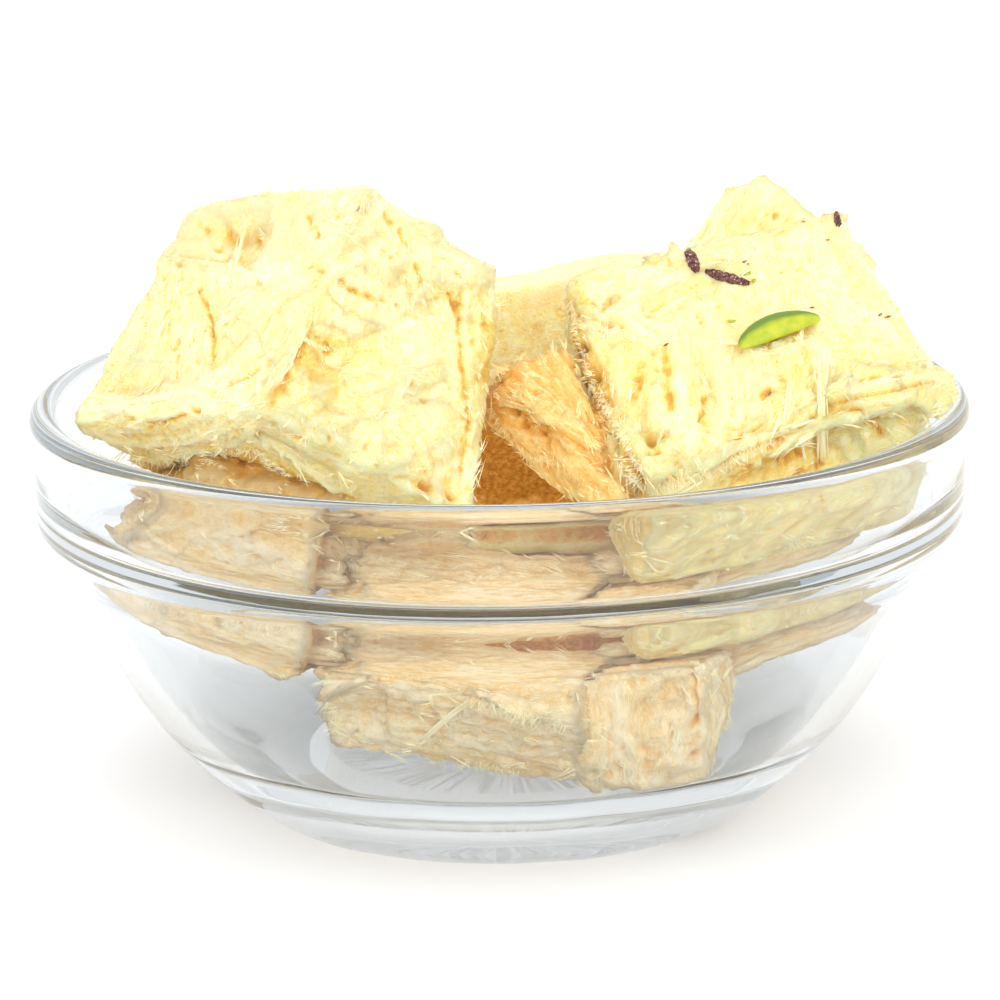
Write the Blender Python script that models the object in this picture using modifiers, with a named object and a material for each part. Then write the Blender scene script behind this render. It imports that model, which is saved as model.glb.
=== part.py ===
"""Soan papdi in a pressed glass bowl: flaky pieces heaped up, a pistachio sliver on the top one.

Metres, +Z up, the bowl stands on z = 0 and its axis is the Z axis. The viewer of the photograph
looks along +Y.
"""
import math

import bmesh
import bpy
from mathutils import Euler, Matrix, Vector, noise
from mathutils.bvhtree import BVHTree

# ---- the bowl ---------------------------------------------------------------------------------
RIM_RADIUS = 0.0601          # outside of the rounded lip
RIM_HEIGHT = 0.0533          # crest of the lip
LIP_ROUND = 0.0019           # radius of the lip's roll
BAND_RADIUS = 0.0597         # outside of the upright band
BAND_BOTTOM = 0.0384         # where the band turns in to the neck
STEP_BOTTOM = 0.0305         # where the neck meets the round body
BODY_RADIUS = 0.0569         # the body is a part of a ball
BODY_CENTRE = 0.0471         # height of that ball's centre
WALL = 0.0030
FOOT_RADIUS = 0.0300
FLOOR_HEIGHT = 0.0072        # inside floor, over the thick glass foot
FLOOR_RADIUS = 0.0270
BAND_INSIDE = 0.0562
LEDGE_HEIGHT = 0.0404        # the inside ledge that another bowl would sit on
TURN_STEPS = 52

# ---- the pieces -------------------------------------------------------------------------------
FINE_CELL = 0.0031           # size of the relief's cells on the two pieces on top
COARSE_CELL = 0.0042
ROUNDING = 0.0022            # worn edges
RELIEF = 0.0017              # depth of the flaky relief, always into the piece
FLAKE_LENGTH = 0.0150        # long way of a flake
FLAKE_ACROSS = 0.0042
GAP = 0.0003                 # clear space where two things touch
ABOVE_ALL = 0.1100

# ---- the garnish ------------------------------------------------------------------------------
NUT_LENGTH = 0.0114
NUT_WIDTH = 0.0043
NUT_THICKNESS = 0.0018
SKIN_LENGTH = 0.0052
SKIN_WIDTH = 0.0019
SKIN_THICKNESS = 0.0013

CREAM = (0.93, 0.78, 0.42, 1.0)
LEMON = (0.95, 0.82, 0.46, 1.0)
GREEN = (0.27, 0.46, 0.04, 1.0)
CLEAR = (0.96, 0.98, 0.98, 1.0)


class Block:
    """One broken piece: a turned box with some corners drawn out and some hollows."""

    def __init__(self, name, centre, size, turn, pulls=None, hollows=(), grain="x", under=(),
                 cell=COARSE_CELL):
        self.name = name
        self.centre = Vector(centre)
        self.size = Vector(size)
        self.turn = Euler([math.radians(a) for a in turn]).to_matrix()
        self.pulls = pulls or {}
        self.hollows = hollows
        self.grain = "xyz".index(grain)
        self.under = under
        self.cell = cell
        self.points = []


# Sizes are of the whole block. A pull names a corner by the sides it lies on (x y z, low or high)
# and says how far it is drawn, in the bowl's frame. A hollow is a place on the block, from -1 to 1
# each way, with its half sizes and its depth. A block gives way to the ones named in "under": a
# name with a side after it says against which side of that one.
BLOCKS = [
    Block("left_top_piece", (-0.0252, -0.0120, 0.0612), (0.0318, 0.0378, 0.0345), (-14.6, 33, 33),
          pulls={"- - +": (0.0042, 0.0, -0.0012), "+ - -": (0.0050, 0.0, -0.0010),
                 "- + -": (-0.0026, 0.0, 0.0006), "+ - +": (-0.0010, 0.0, 0.0006),
                 "- + +": (0.0036, 0.0, -0.0010)},
          hollows=[((-1.0, 0.30, 0.52), (0.010, 0.009, 0.0060), 0.0034),
                   ((-1.0, 0.10, -0.62), (0.010, 0.018, 0.0030), 0.0020),
                   ((-0.55, -1.0, -0.35), (0.0060, 0.010, 0.0080), 0.0022),
                   ((0.10, -1.0, 0.42), (0.0070, 0.010, 0.0050), 0.0018),
                   ((0.66, -1.0, -0.74), (0.0060, 0.010, 0.0060), 0.0020)],
          grain="y", cell=FINE_CELL),
    Block("right_top_piece", (0.0316, -0.0066, 0.0527), (0.0392, 0.0394, 0.0245), (31.1, -9.9, 12.2),
          pulls={"- - -": (-0.0020, -0.0010, -0.0020), "+ - -": (-0.0030, 0.0, 0.0015),
                 "+ - +": (0.0006, 0.0, 0.0036)},
          hollows=[((0.25, -1.0, 0.45), (0.0100, 0.0080, 0.0036), 0.0042),
                   ((0.80, -1.0, -0.10), (0.0090, 0.0080, 0.0030), 0.0026),
                   ((-0.30, -0.55, 1.0), (0.0042, 0.0100, 0.0080), 0.0018),
                   ((0.20, -0.70, 1.0), (0.0036, 0.0080, 0.0080), 0.0022)],
          grain="y", cell=FINE_CELL),
    Block("back_middle_piece", (0.0067, 0.0300, 0.0455), (0.036, 0.022, 0.035), (-6, -9, -6),
          hollows=[((-0.2, -1.0, 0.1), (0.010, 0.006, 0.008), 0.0024)],
          grain="x", under=("left_top_piece", "right_top_piece")),
    Block("back_right_piece", (0.0350, 0.0266, 0.0594), (0.0225, 0.021, 0.028), (-22, 39, 4),
          hollows=[((-1.0, -0.6, 0.2), (0.006, 0.006, 0.006), 0.0016)],
          grain="z", under=("right_top_piece", "back_middle_piece")),
    Block("centre_slab", (0.0108, -0.0172, 0.0500), (0.028, 0.015, 0.0105), (5, 34.2, -42.9),
          hollows=[((-0.4, -1.0, 0.5), (0.005, 0.006, 0.004), 0.0020),
                   ((0.4, -0.4, 1.0), (0.004, 0.004, 0.004), 0.0018)],
          grain="x", under=("right_top_piece", "left_top_piece")),
    Block("front_bottom_piece", (-0.0044, -0.0138, 0.0229), (0.034, 0.030, 0.017), (31, 9.5, -6),
          pulls={"- - -": (0.0020, 0.0, 0.0), "- - +": (-0.0022, 0.0, 0.0010),
                 "+ - -": (0.0020, 0.0, 0.0006), "- + +": (-0.0036, 0.0, 0.0)},
          hollows=[((-0.55, -1.0, 0.0), (0.007, 0.006, 0.006), 0.0018),
                   ((0.2, -0.5, 1.0), (0.008, 0.006, 0.006), 0.0014)],
          grain="x", under=("left_top_piece +x", "right_top_piece", "centre_slab")),
    Block("left_bottom_piece", (-0.0268, -0.0080, 0.0406), (0.0325, 0.034, 0.032), (11.6, 43, 4.6),
          pulls={"+ - -": (-0.0010, 0.0, 0.0036)},
          hollows=[((0.5, -1.0, -0.6), (0.006, 0.006, 0.006), 0.0020)],
          grain="x", under=("left_top_piece -z", "front_bottom_piece -x")),
    Block("right_bottom_piece", (0.0189, -0.0140, 0.0180), (0.0185, 0.027, 0.0205), (4, -4, -12),
          hollows=[((0.6, -1.0, 0.2), (0.003, 0.005, 0.007), 0.0016)],
          grain="z", under=("right_top_piece", "front_bottom_piece", "centre_slab")),
    Block("lower_right_piece", (0.0325, 0.0120, 0.0268), (0.027, 0.027, 0.020), (4, -18, 20),
          grain="y", under=("right_top_piece", "right_bottom_piece", "back_middle_piece",
                            "back_right_piece")),
    Block("lower_back_piece", (-0.0040, 0.0225, 0.0215), (0.043, 0.028, 0.025), (-6, 5, 8),
          grain="x", under=("left_top_piece", "front_bottom_piece", "left_bottom_piece",
                            "lower_right_piece", "back_middle_piece", "right_bottom_piece")),
]


def clear_scene():
    """Start from an empty file."""
    for found in list(bpy.data.objects):
        bpy.data.objects.remove(found, do_unlink=True)


def new_collection(name):
    """Make a collection in the scene."""
    made = bpy.data.collections.new(name)
    bpy.context.scene.collection.children.link(made)
    return made


def make_material(name, colour, roughness, transmission=0.0, ior=1.45, subsurface=0.0):
    """One Principled material."""
    made = bpy.data.materials.new(name)
    made.use_nodes = True
    shader = made.node_tree.nodes["Principled BSDF"]
    shader.inputs["Base Color"].default_value = colour
    shader.inputs["Roughness"].default_value = roughness
    shader.inputs["Transmission Weight"].default_value = transmission
    shader.inputs["IOR"].default_value = ior
    shader.inputs["Subsurface Weight"].default_value = subsurface
    return made


def arc(centre_x, centre_z, radius, start, end, steps):
    """Points on an arc, angles in degrees from +X towards +Z."""
    points = []
    for i in range(steps + 1):
        angle = math.radians(start + (end - start) * i / steps)
        points.append((centre_x + radius * math.cos(angle), centre_z + radius * math.sin(angle)))
    return points


def ball_radius(ball, height):
    """Radius of a ball round BODY_CENTRE at a height."""
    return math.sqrt(ball * ball - (BODY_CENTRE - height) ** 2)


def inside_profile(inset=0.0):
    """The bowl's inside, from the floor's middle up to the lip, moved in by inset."""
    ball = BODY_RADIUS - WALL - inset
    floor = FLOOR_HEIGHT + inset
    meet = FLOOR_HEIGHT + 0.0052
    points = [(0.0, floor), (FLOOR_RADIUS, floor)]
    end_x = ball_radius(ball, meet)
    for t in (0.33, 0.66):
        lift = (meet - floor) * t * t
        points.append((FLOOR_RADIUS + (end_x - FLOOR_RADIUS) * t, floor + lift))
    steps = 7
    top = LEDGE_HEIGHT - 0.0042
    for i in range(steps + 1):
        height = meet + (top - meet) * i / steps
        points.append((ball_radius(ball, height), height))
    ledge_x = BAND_INSIDE - inset
    points.append((ball_radius(ball, top) + 0.0006, LEDGE_HEIGHT - 0.0018))
    points.append((ledge_x - 0.0008, LEDGE_HEIGHT))
    points.append((ledge_x, LEDGE_HEIGHT + 0.0014))
    return points


def outside_profile():
    """The bowl's outside, from the lip's crest down to the middle of the foot."""
    lip_x = RIM_RADIUS - LIP_ROUND
    lip_z = RIM_HEIGHT - LIP_ROUND
    points = arc(lip_x, lip_z, LIP_ROUND, 90, 0, 4)
    points.append((BAND_RADIUS, lip_z - 0.0034))
    points += arc(BAND_RADIUS - 0.0022, BAND_BOTTOM + 0.0012, 0.0022, 0, -48, 2)
    neck = ball_radius(BODY_RADIUS, STEP_BOTTOM)
    points.append((neck + 0.0018, STEP_BOTTOM + 0.0036))
    points.append((neck + 0.0004, STEP_BOTTOM + 0.0012))
    steps = 8
    for i in range(steps + 1):
        height = STEP_BOTTOM - 0.0010 + (0.0014 - STEP_BOTTOM + 0.0010) * i / steps
        points.append((ball_radius(BODY_RADIUS, height), height))
    points.append((FOOT_RADIUS + 0.0022, 0.0004))
    points.append((FOOT_RADIUS, 0.0))
    points.append((0.0, 0.0))
    return points


def lathe(name, points, collection):
    """Turn a profile about Z with a Screw modifier and keep the result as a closed mesh."""
    mesh = bpy.data.meshes.new(name)
    mesh.from_pydata([(x, 0.0, z) for x, z in points], [(i, i + 1) for i in range(len(points) - 1)], [])
    made = bpy.data.objects.new(name, mesh)
    collection.objects.link(made)
    screw = made.modifiers.new("turn", "SCREW")
    screw.axis = "Z"
    screw.angle = math.tau
    screw.steps = TURN_STEPS
    screw.render_steps = TURN_STEPS
    screw.use_merge_vertices = True
    screw.merge_threshold = 0.00001
    keep_result(made)
    fix_normals(made)
    return made


def keep_result(target):
    """Put the modifiers' result in place of the mesh."""
    depsgraph = bpy.context.evaluated_depsgraph_get()
    depsgraph.update()
    result = bpy.data.meshes.new_from_object(target.evaluated_get(depsgraph))
    target.modifiers.clear()
    target.data = result


def fix_normals(target):
    """Weld, face outwards and shade smooth."""
    work = bmesh.new()
    work.from_mesh(target.data)
    bmesh.ops.remove_doubles(work, verts=work.verts, dist=0.00001)
    bmesh.ops.dissolve_degenerate(work, dist=0.00001, edges=work.edges)
    bmesh.ops.recalc_face_normals(work, faces=work.faces)
    for face in work.faces:
        face.smooth = True
    work.to_mesh(target.data)
    work.free()


def box_grid(size, cell):
    """The surface of a box as a welded grid of quads, in a bmesh; coordinates run from -1 to 1."""
    counts = [max(3, round(side / cell)) for side in size]
    work = bmesh.new()
    known = {}

    def corner(place):
        """Return the vertex at a place of the grid, made once."""
        if place not in known:
            spot = [2.0 * place[k] / counts[k] - 1.0 for k in range(3)]
            known[place] = work.verts.new(spot)
        return known[place]

    for axis in range(3):
        u, v = [k for k in range(3) if k != axis]
        for side in (0, counts[axis]):
            for i in range(counts[u]):
                for j in range(counts[v]):
                    ring = []
                    for di, dj in ((0, 0), (1, 0), (1, 1), (0, 1)):
                        place = [0, 0, 0]
                        place[axis] = side
                        place[u] = i + di
                        place[v] = j + dj
                        ring.append(corner(tuple(place)))
                    work.faces.new(ring)
    bmesh.ops.recalc_face_normals(work, faces=work.faces)
    return work


def pull_at(block, spot):
    """How far the drawn corners move a place of the block."""
    moved = Vector((0.0, 0.0, 0.0))
    for corner, pull in block.pulls.items():
        weight = 1.0
        for sign, value in zip(corner.split(), spot):
            weight *= (1.0 + (value if sign == "+" else -value)) / 2.0
        moved += Vector(pull) * weight
    return moved


def relief_at(block, spot, seed):
    """Depth of the flaky relief at a place of the block, from 0 to RELIEF."""
    place = Vector([spot[k] * block.size[k] / 2.0 for k in range(3)])
    scaled = Vector([place[k] / (FLAKE_LENGTH if k == block.grain else FLAKE_ACROSS) for k in range(3)])
    value = noise.fractal(scaled + Vector((seed * 7.3, seed * 3.1, 0.0)), 0.7, 2.0, 3)
    return RELIEF * min(1.0, max(0.0, 0.5 + 0.7 * value))


def hollow_at(block, spot):
    """Depth of the hollows at a place of the block."""
    depth = 0.0
    for place, half_sizes, deep in block.hollows:
        distance = 0.0
        for k in range(3):
            away = (spot[k] - place[k]) * block.size[k] / 2.0
            distance += (away / half_sizes[k]) ** 2
        depth = max(depth, deep * max(0.0, 1.0 - distance))
    return depth


def rough_block(block, seed):
    """Build one piece in place: rounded edges, drawn corners, relief and hollows."""
    work = box_grid(block.size, block.cell)
    half = block.size / 2.0
    for vertex in work.verts:
        spot = vertex.co.copy()
        place = Vector([spot[k] * half[k] for k in range(3)])
        core = Vector([max(-half[k] + ROUNDING, min(half[k] - ROUNDING, place[k])) for k in range(3)])
        out = (place - core).normalized()
        deep = relief_at(block, spot, seed) + hollow_at(block, spot)
        place = core + out * (ROUNDING - deep)
        vertex.co = block.centre + block.turn @ place + pull_at(block, spot)
    return work


def face_directions(block):
    """The six ways the faces of a block look."""
    ways = []
    for k in range(3):
        ways.append(block.turn.col[k].copy())
        ways.append(-block.turn.col[k])
    return ways


def give_way(work, block, keeper, side=""):
    """Cut a piece flat where it would run into the one it lies against."""
    best = None
    ways = face_directions(keeper) + face_directions(block)
    if side:
        column = keeper.turn.col["xyz".index(side[1])]
        ways = [column if side[0] == "+" else -column]
    for way in ways:
        edge = max(point.dot(way) for point in keeper.points) + GAP
        deep = edge - min(vertex.co.dot(way) for vertex in work.verts)
        if best is None or deep < best[0]:
            best = (deep, way, edge)
    deep, way, edge = best
    if deep <= 0.0:
        return
    everything = work.verts[:] + work.edges[:] + work.faces[:]
    cut = bmesh.ops.bisect_plane(work, geom=everything, dist=0.0002, plane_co=way * edge,
                                 plane_no=way, clear_inner=True)
    rim = [item for item in cut["geom_cut"] if isinstance(item, bmesh.types.BMEdge)]
    bmesh.ops.holes_fill(work, edges=rim, sides=0)
    bmesh.ops.recalc_face_normals(work, faces=work.faces)


def free_space(collection):
    """The room inside the bowl and over it, GAP away from the glass, as a solid to cut with."""
    points = inside_profile(GAP + 0.0001)
    inner = BAND_INSIDE - GAP - 0.0003
    crest = RIM_HEIGHT + GAP + 0.0001
    points.append((inner, RIM_HEIGHT - LIP_ROUND))
    points.append((inner + 0.0004, crest - 0.0002))
    points.append((inner + 0.0012, crest + 0.0001))
    points.append((RIM_RADIUS + 0.0040, crest + 0.0002))
    points.append((RIM_RADIUS + 0.0040, ABOVE_ALL))
    points.append((0.0, ABOVE_ALL))
    return lathe("free_space", points, collection)


def boolean(target, other, operation):
    """Apply one exact Boolean."""
    cut = target.modifiers.new("cut", "BOOLEAN")
    cut.operation = operation
    cut.object = other
    cut.solver = "EXACT"
    keep_result(target)


def build_pieces(collection, tools, material_for):
    """Build every piece, each clear of the glass and of the pieces it gives way to."""
    room = free_space(tools)
    made = {}
    by_name = {block.name: block for block in BLOCKS}
    for seed, block in enumerate(BLOCKS, 1):
        work = rough_block(block, seed)
        for entry in block.under:
            name, _, side = entry.partition(" ")
            give_way(work, block, by_name[name], side)
        block.points = [vertex.co.copy() for vertex in work.verts]
        mesh = bpy.data.meshes.new(block.name)
        work.to_mesh(mesh)
        work.free()
        piece = bpy.data.objects.new(block.name, mesh)
        collection.objects.link(piece)
        boolean(piece, room, "INTERSECT")
        fix_normals(piece)
        piece.data.materials.clear()
        piece.data.materials.append(material_for[block.name])
        made[block.name] = piece
    room.hide_render = True
    room.display_type = "WIRE"
    return made, by_name


def top_face_point(block, across, along):
    """A point of the high Z face of a block; across and along run from -1 to 1."""
    spot = Vector((across, along, 1.0))
    local = Vector([spot[k] * block.size[k] / 2.0 for k in range(3)])
    return block.centre + block.turn @ local + pull_at(block, spot)


def top_face_frame(block, across, along, lift):
    """A frame lying on the high Z face of a block, lifted off it."""
    step = 0.15
    spot = top_face_point(block, across, along)
    x_way = (top_face_point(block, across + step, along) - spot).normalized()
    y_way = (top_face_point(block, across, along + step) - spot).normalized()
    z_way = x_way.cross(y_way).normalized()
    y_way = z_way.cross(x_way)
    axes = Matrix((x_way, y_way, z_way)).transposed().to_4x4()
    return Matrix.Translation(spot + z_way * lift) @ axes


def half_moon(name, length, width, thickness, collection):
    """A sliver cut from a nut: a bent, pointed, flat lens."""
    mesh = bpy.data.meshes.new(name)
    work = bmesh.new()
    bmesh.ops.create_uvsphere(work, u_segments=12, v_segments=8, radius=1.0)
    bmesh.ops.rotate(work, verts=work.verts, matrix=Matrix.Rotation(math.pi / 2.0, 3, "Y"))
    for vertex in work.verts:
        t = vertex.co.x
        vertex.co.x = t * length / 2.0
        vertex.co.y = vertex.co.y * width / 2.0 + (1.0 - t * t) * width * 0.30
        vertex.co.z = vertex.co.z * thickness / 2.0
    work.to_mesh(mesh)
    work.free()
    made = bpy.data.objects.new(name, mesh)
    collection.objects.link(made)
    return made


def room_under(upper, lower, frame):
    """The least distance down a frame's Z from one object's points to another's surface."""
    work = bmesh.new()
    work.from_mesh(lower.data)
    tree = BVHTree.FromBMesh(work)
    work.free()
    down = -frame.col[2].xyz
    found = []
    for vertex in upper.data.vertices:
        distance = tree.ray_cast(vertex.co, down)[3]
        if distance is not None:
            found.append(distance)
    return min(found)


def skin_bit(name, frame, length, collection):
    """A small flake of almond skin, set half into the piece it lies on."""
    bit = half_moon(name, length, SKIN_WIDTH, SKIN_THICKNESS, collection)
    bit.data.transform(frame)
    return bit


def add_garnish(piece, block, collection, tools, material):
    """Lay the nut sliver on the top piece and fuse the small bits of skin to it."""
    nut = half_moon("pistachio_sliver", NUT_LENGTH, NUT_WIDTH, NUT_THICKNESS, collection)
    frame = top_face_frame(block, 0.15, -0.15, NUT_THICKNESS)
    nut.data.transform(frame @ Matrix.Rotation(math.radians(5), 4, "Z"))
    nut.data.transform(Matrix.Translation(frame.col[2].xyz * (GAP - room_under(nut, piece, frame))))
    nut.data.materials.append(material)
    fix_normals(nut)
    places = [(-0.17, 0.88, 100.0, 1.0), (0.03, 0.62, -28.0, 1.15), (0.88, 0.84, 15.0, 0.7)]
    bits = new_collection("skin_bits")
    for number, (across, along, turn, scale) in enumerate(places):
        frame = top_face_frame(block, across, along, -RELIEF * 0.45)
        frame = frame @ Matrix.Rotation(math.radians(turn), 4, "Z")
        skin_bit("skin_bit_%d" % number, frame, SKIN_LENGTH * scale, bits)
    fuse = piece.modifiers.new("fuse", "BOOLEAN")
    fuse.operation = "UNION"
    fuse.operand_type = "COLLECTION"
    fuse.collection = bits
    fuse.solver = "EXACT"
    keep_result(piece)
    for bit in list(bits.objects):
        bpy.data.objects.remove(bit, do_unlink=True)
    bpy.data.collections.remove(bits)
    fix_normals(piece)
    return nut


def build_bowl(collection, material):
    """The glass bowl, turned in one piece."""
    inside = inside_profile()
    lip_x = RIM_RADIUS - LIP_ROUND
    lip_z = RIM_HEIGHT - LIP_ROUND
    lip = arc(lip_x, lip_z, LIP_ROUND, 180, 90, 4)
    points = inside + lip[:-1] + outside_profile()
    bowl = lathe("glass_bowl", points, collection)
    bowl.data.materials.append(material)
    return bowl


def main():
    """Build the whole object."""
    clear_scene()
    parts = new_collection("soan_papdi")
    tools = new_collection("cutters")
    glass = make_material("bowl_glass", CLEAR, 0.02, transmission=1.0, ior=1.5)
    build_bowl(parts, glass)
    materials = {}
    for number, block in enumerate(BLOCKS):
        colour = LEMON if number < 2 else CREAM
        materials[block.name] = make_material(block.name + "_flake", colour, 0.8, subsurface=0.2)
    pieces, by_name = build_pieces(parts, tools, materials)
    nut_green = make_material("pistachio_green", GREEN, 0.45)
    add_garnish(pieces["right_top_piece"], by_name["right_top_piece"], parts, tools, nut_green)
    for tool in tools.objects:
        tool.hide_render = True


main()
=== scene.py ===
"""Soan papdi in a pressed glass bowl: the looks, built round the fixed frame.

Metres, +Z up. The bowl stands on z = 0 with its axis on Z, and the viewer looks along +Y. Each broken
piece of the sweet starts from its solid in the frame, gets overlapping flakes, cracks and a fibrous
crust, and carries threads of spun sugar. The bowl is turned again from its own sizes.
"""

import logging
import math
from dataclasses import dataclass, field
from enum import Enum

import bmesh
import bpy
import numpy as np
from mathutils import Euler, Matrix, Vector
from mathutils.bvhtree import BVHTree
from mathutils.kdtree import KDTree


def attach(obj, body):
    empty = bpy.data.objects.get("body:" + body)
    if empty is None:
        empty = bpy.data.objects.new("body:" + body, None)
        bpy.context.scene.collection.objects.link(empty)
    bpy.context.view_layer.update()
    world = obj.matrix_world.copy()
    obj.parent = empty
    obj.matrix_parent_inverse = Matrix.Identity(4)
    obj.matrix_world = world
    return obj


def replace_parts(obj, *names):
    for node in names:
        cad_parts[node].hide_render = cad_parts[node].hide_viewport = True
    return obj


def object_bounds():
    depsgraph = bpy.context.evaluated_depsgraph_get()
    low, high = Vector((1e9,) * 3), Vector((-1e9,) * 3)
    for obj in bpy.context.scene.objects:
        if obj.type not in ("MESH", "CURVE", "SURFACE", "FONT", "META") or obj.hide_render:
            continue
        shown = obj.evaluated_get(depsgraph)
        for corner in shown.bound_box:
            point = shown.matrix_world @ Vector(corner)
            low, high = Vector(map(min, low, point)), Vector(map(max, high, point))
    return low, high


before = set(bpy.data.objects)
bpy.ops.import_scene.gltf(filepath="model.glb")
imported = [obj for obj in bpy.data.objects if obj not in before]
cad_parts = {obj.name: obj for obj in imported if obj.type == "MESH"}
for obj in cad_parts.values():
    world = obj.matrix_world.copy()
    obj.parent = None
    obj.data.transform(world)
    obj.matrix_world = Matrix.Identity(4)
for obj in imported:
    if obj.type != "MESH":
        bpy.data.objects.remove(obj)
CAD_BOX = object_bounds()
LOG = logging.getLogger("soan_papdi")
MM = 0.001
Rows = np.ndarray
Mesh = bpy.types.Mesh
Material = bpy.types.Material
Piece = bpy.types.Object
Socket = bpy.types.NodeSocket
Colour = tuple[float, float, float]
Tones = dict[str, Colour | float]
Spot = tuple[float, float]


# ---- random values in space --------------------------------------------------------------------
class NoiseField:
    """Smooth random values in space, the same each run."""

    CELL_FACTORS = (73856093, 19349663, 83492791)
    STIRRING = ((15, 2246822519), (13, 3266489917))

    def __init__(self, seed: int) -> None:
        """Keep the seed as a 32-bit number."""
        self.seed = np.uint32((seed * 7919 + 17) % 4294967295)

    def three(self, cell: Rows) -> Rows:
        """Draw three random values for each cell.

        Args:
            cell: whole numbers, one row of three for each cell.

        Returns:
            Values from 0 to 1, one row of three for each cell.
        """
        whole = cell.astype(np.int64).astype(np.uint32) * np.array(self.CELL_FACTORS, np.uint32)
        value = np.bitwise_xor.reduce(whole, axis=1) ^ self.seed
        for shift, factor in self.STIRRING:
            value = (value ^ (value >> np.uint32(shift))) * np.uint32(factor)
        value = value ^ (value >> np.uint32(16))
        parts = [(value >> np.uint32(shift)) & np.uint32(1023) for shift in (0, 10, 20)]
        return np.stack(parts, 1) / 1023.0

    def plain(self, points: Rows) -> Rows:
        """Gradient noise.

        Args:
            points: places, in cells.

        Returns:
            Values from about -1 to 1.
        """
        base = np.floor(points)
        part = points - base
        fade = part ** 3 * (part * (part * 6.0 - 15.0) + 10.0)
        total = np.zeros(len(points))
        for number in range(8):
            offset = np.array([(number >> k) & 1 for k in range(3)])
            slope = self.three(base + offset) * 2.0 - 1.0
            weight = np.prod(np.where(offset == 1, fade, 1.0 - fade), axis=1)
            total += weight * np.sum(slope * (part - offset), axis=1)
        return total * 1.5

    def fractal(self, points: Rows, octaves: int = 3, gain: float = 0.5) -> Rows:
        """Sum of octaves of gradient noise.

        Args:
            points: places, in cells of the first octave.
            octaves: how many.
            gain: how strong each is beside the one before.

        Returns:
            Values from about -1 to 1.
        """
        total = np.zeros(len(points))
        strength = 1.0
        whole = 0.0
        for octave in range(octaves):
            total += strength * self.plain(points * 2.03 ** octave + octave * 17.3)
            whole += strength
            strength *= gain
        return total / whole

    def at(self, points: Rows, cell: float, octaves: int = 2, gain: float = 0.5,
           shift: float = 0.0) -> Rows:
        """Return fractal noise at places in metres, for a cell in millimetres."""
        return self.fractal(points / (cell * MM) + shift, octaves, gain)

    def nearest(self, points: Rows) -> Rows:
        """Distance to the nearest of scattered places, one in each cell.

        Args:
            points: places, in cells.

        Returns:
            Distances, in cells.
        """
        base = np.floor(points)
        best = np.full(len(points), 9.0)
        for number in range(27):
            cell = base + np.array([number % 3, number // 3 % 3, number // 9]) - 1
            best = np.minimum(best, np.linalg.norm(points - cell - self.three(cell), axis=1))
        return best


def smooth_step(low: float, high: float, value: Rows) -> Rows:
    """Return 0 below low, 1 above high and a smooth rise between."""
    part = np.clip((value - low) / (high - low), 0.0, 1.0)
    return part * part * (3.0 - 2.0 * part)


def unit(rows: Rows) -> Rows:
    """Return the rows at a length of one."""
    return rows / np.maximum(np.linalg.norm(rows, axis=1, keepdims=True), 1e-12)


# ---- meshes ------------------------------------------------------------------------------------
@dataclass
class Soup:
    """Points and faces that are gathered into one mesh."""

    points: list[Rows] = field(default_factory=list)
    faces: list[list[int]] = field(default_factory=list)
    count: int = 0

    def add(self, points: Rows, faces: Rows | list[list[int]]) -> None:
        """Add a group of points and the faces that join them."""
        for face in faces:
            self.faces.append([int(corner) + self.count for corner in face])
        self.points.append(np.asarray(points, float))
        self.count += len(points)

    def mesh(self, name: str) -> Mesh:
        """Make the mesh.

        Args:
            name: its name.

        Returns:
            The new mesh.
        """
        made = bpy.data.meshes.new(name)
        made.from_pydata(np.concatenate(self.points).tolist(), [], self.faces)
        made.update()
        return made


def read(items: bpy.types.bpy_prop_collection, name: str, width: int, kind: type = np.float32) -> Rows:
    """Read numbers off the elements of a mesh.

    Args:
        items: the elements.
        name: what is read.
        width: how many numbers each has.
        kind: the type of number.

    Returns:
        One row for each element.
    """
    rows = np.zeros(len(items) * width, kind)
    items.foreach_get(name, rows)
    return rows.reshape(-1, width)


def points_of(mesh: Mesh) -> Rows:
    """Return a mesh's points, one row each."""
    return read(mesh.vertices, "co", 3).astype(float)


def normals_of(mesh: Mesh) -> Rows:
    """Return a mesh's point normals, one row each."""
    return read(mesh.vertices, "normal", 3).astype(float)


def faces_of(mesh: Mesh) -> list[list[int]]:
    """Return the corners of each face."""
    return [list(face.vertices) for face in mesh.polygons]


def set_points(mesh: Mesh, points: Rows) -> None:
    """Put new places for a mesh's points."""
    mesh.vertices.foreach_set("co", points.astype(np.float32).ravel())
    mesh.update()


def store(mesh: Mesh, name: str, values: Rows) -> None:
    """Keep a number or a row of three for each point, for the material to read."""
    kind, part = ("FLOAT", "value") if values.ndim == 1 else ("FLOAT_VECTOR", "vector")
    mesh.attributes.new(name, kind, "POINT").data.foreach_set(part, values.astype(np.float32).ravel())


def add_object(name: str, mesh: Mesh) -> Piece:
    """Put a mesh in the scene as an object of that name."""
    made = bpy.data.objects.new(name, mesh)
    bpy.context.scene.collection.objects.link(made)
    return made


def dress(piece: Piece, material: Material, smooth: bool = True) -> Piece:
    """Give a piece its finish and let it ride.

    Args:
        piece: the object.
        material: its finish.
        smooth: whether its faces are shaded as one skin.

    Returns:
        The piece.
    """
    piece.data.materials.clear()
    piece.data.materials.append(material)
    if smooth:
        piece.data.shade_smooth()
    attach(piece, "root")
    return piece


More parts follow.
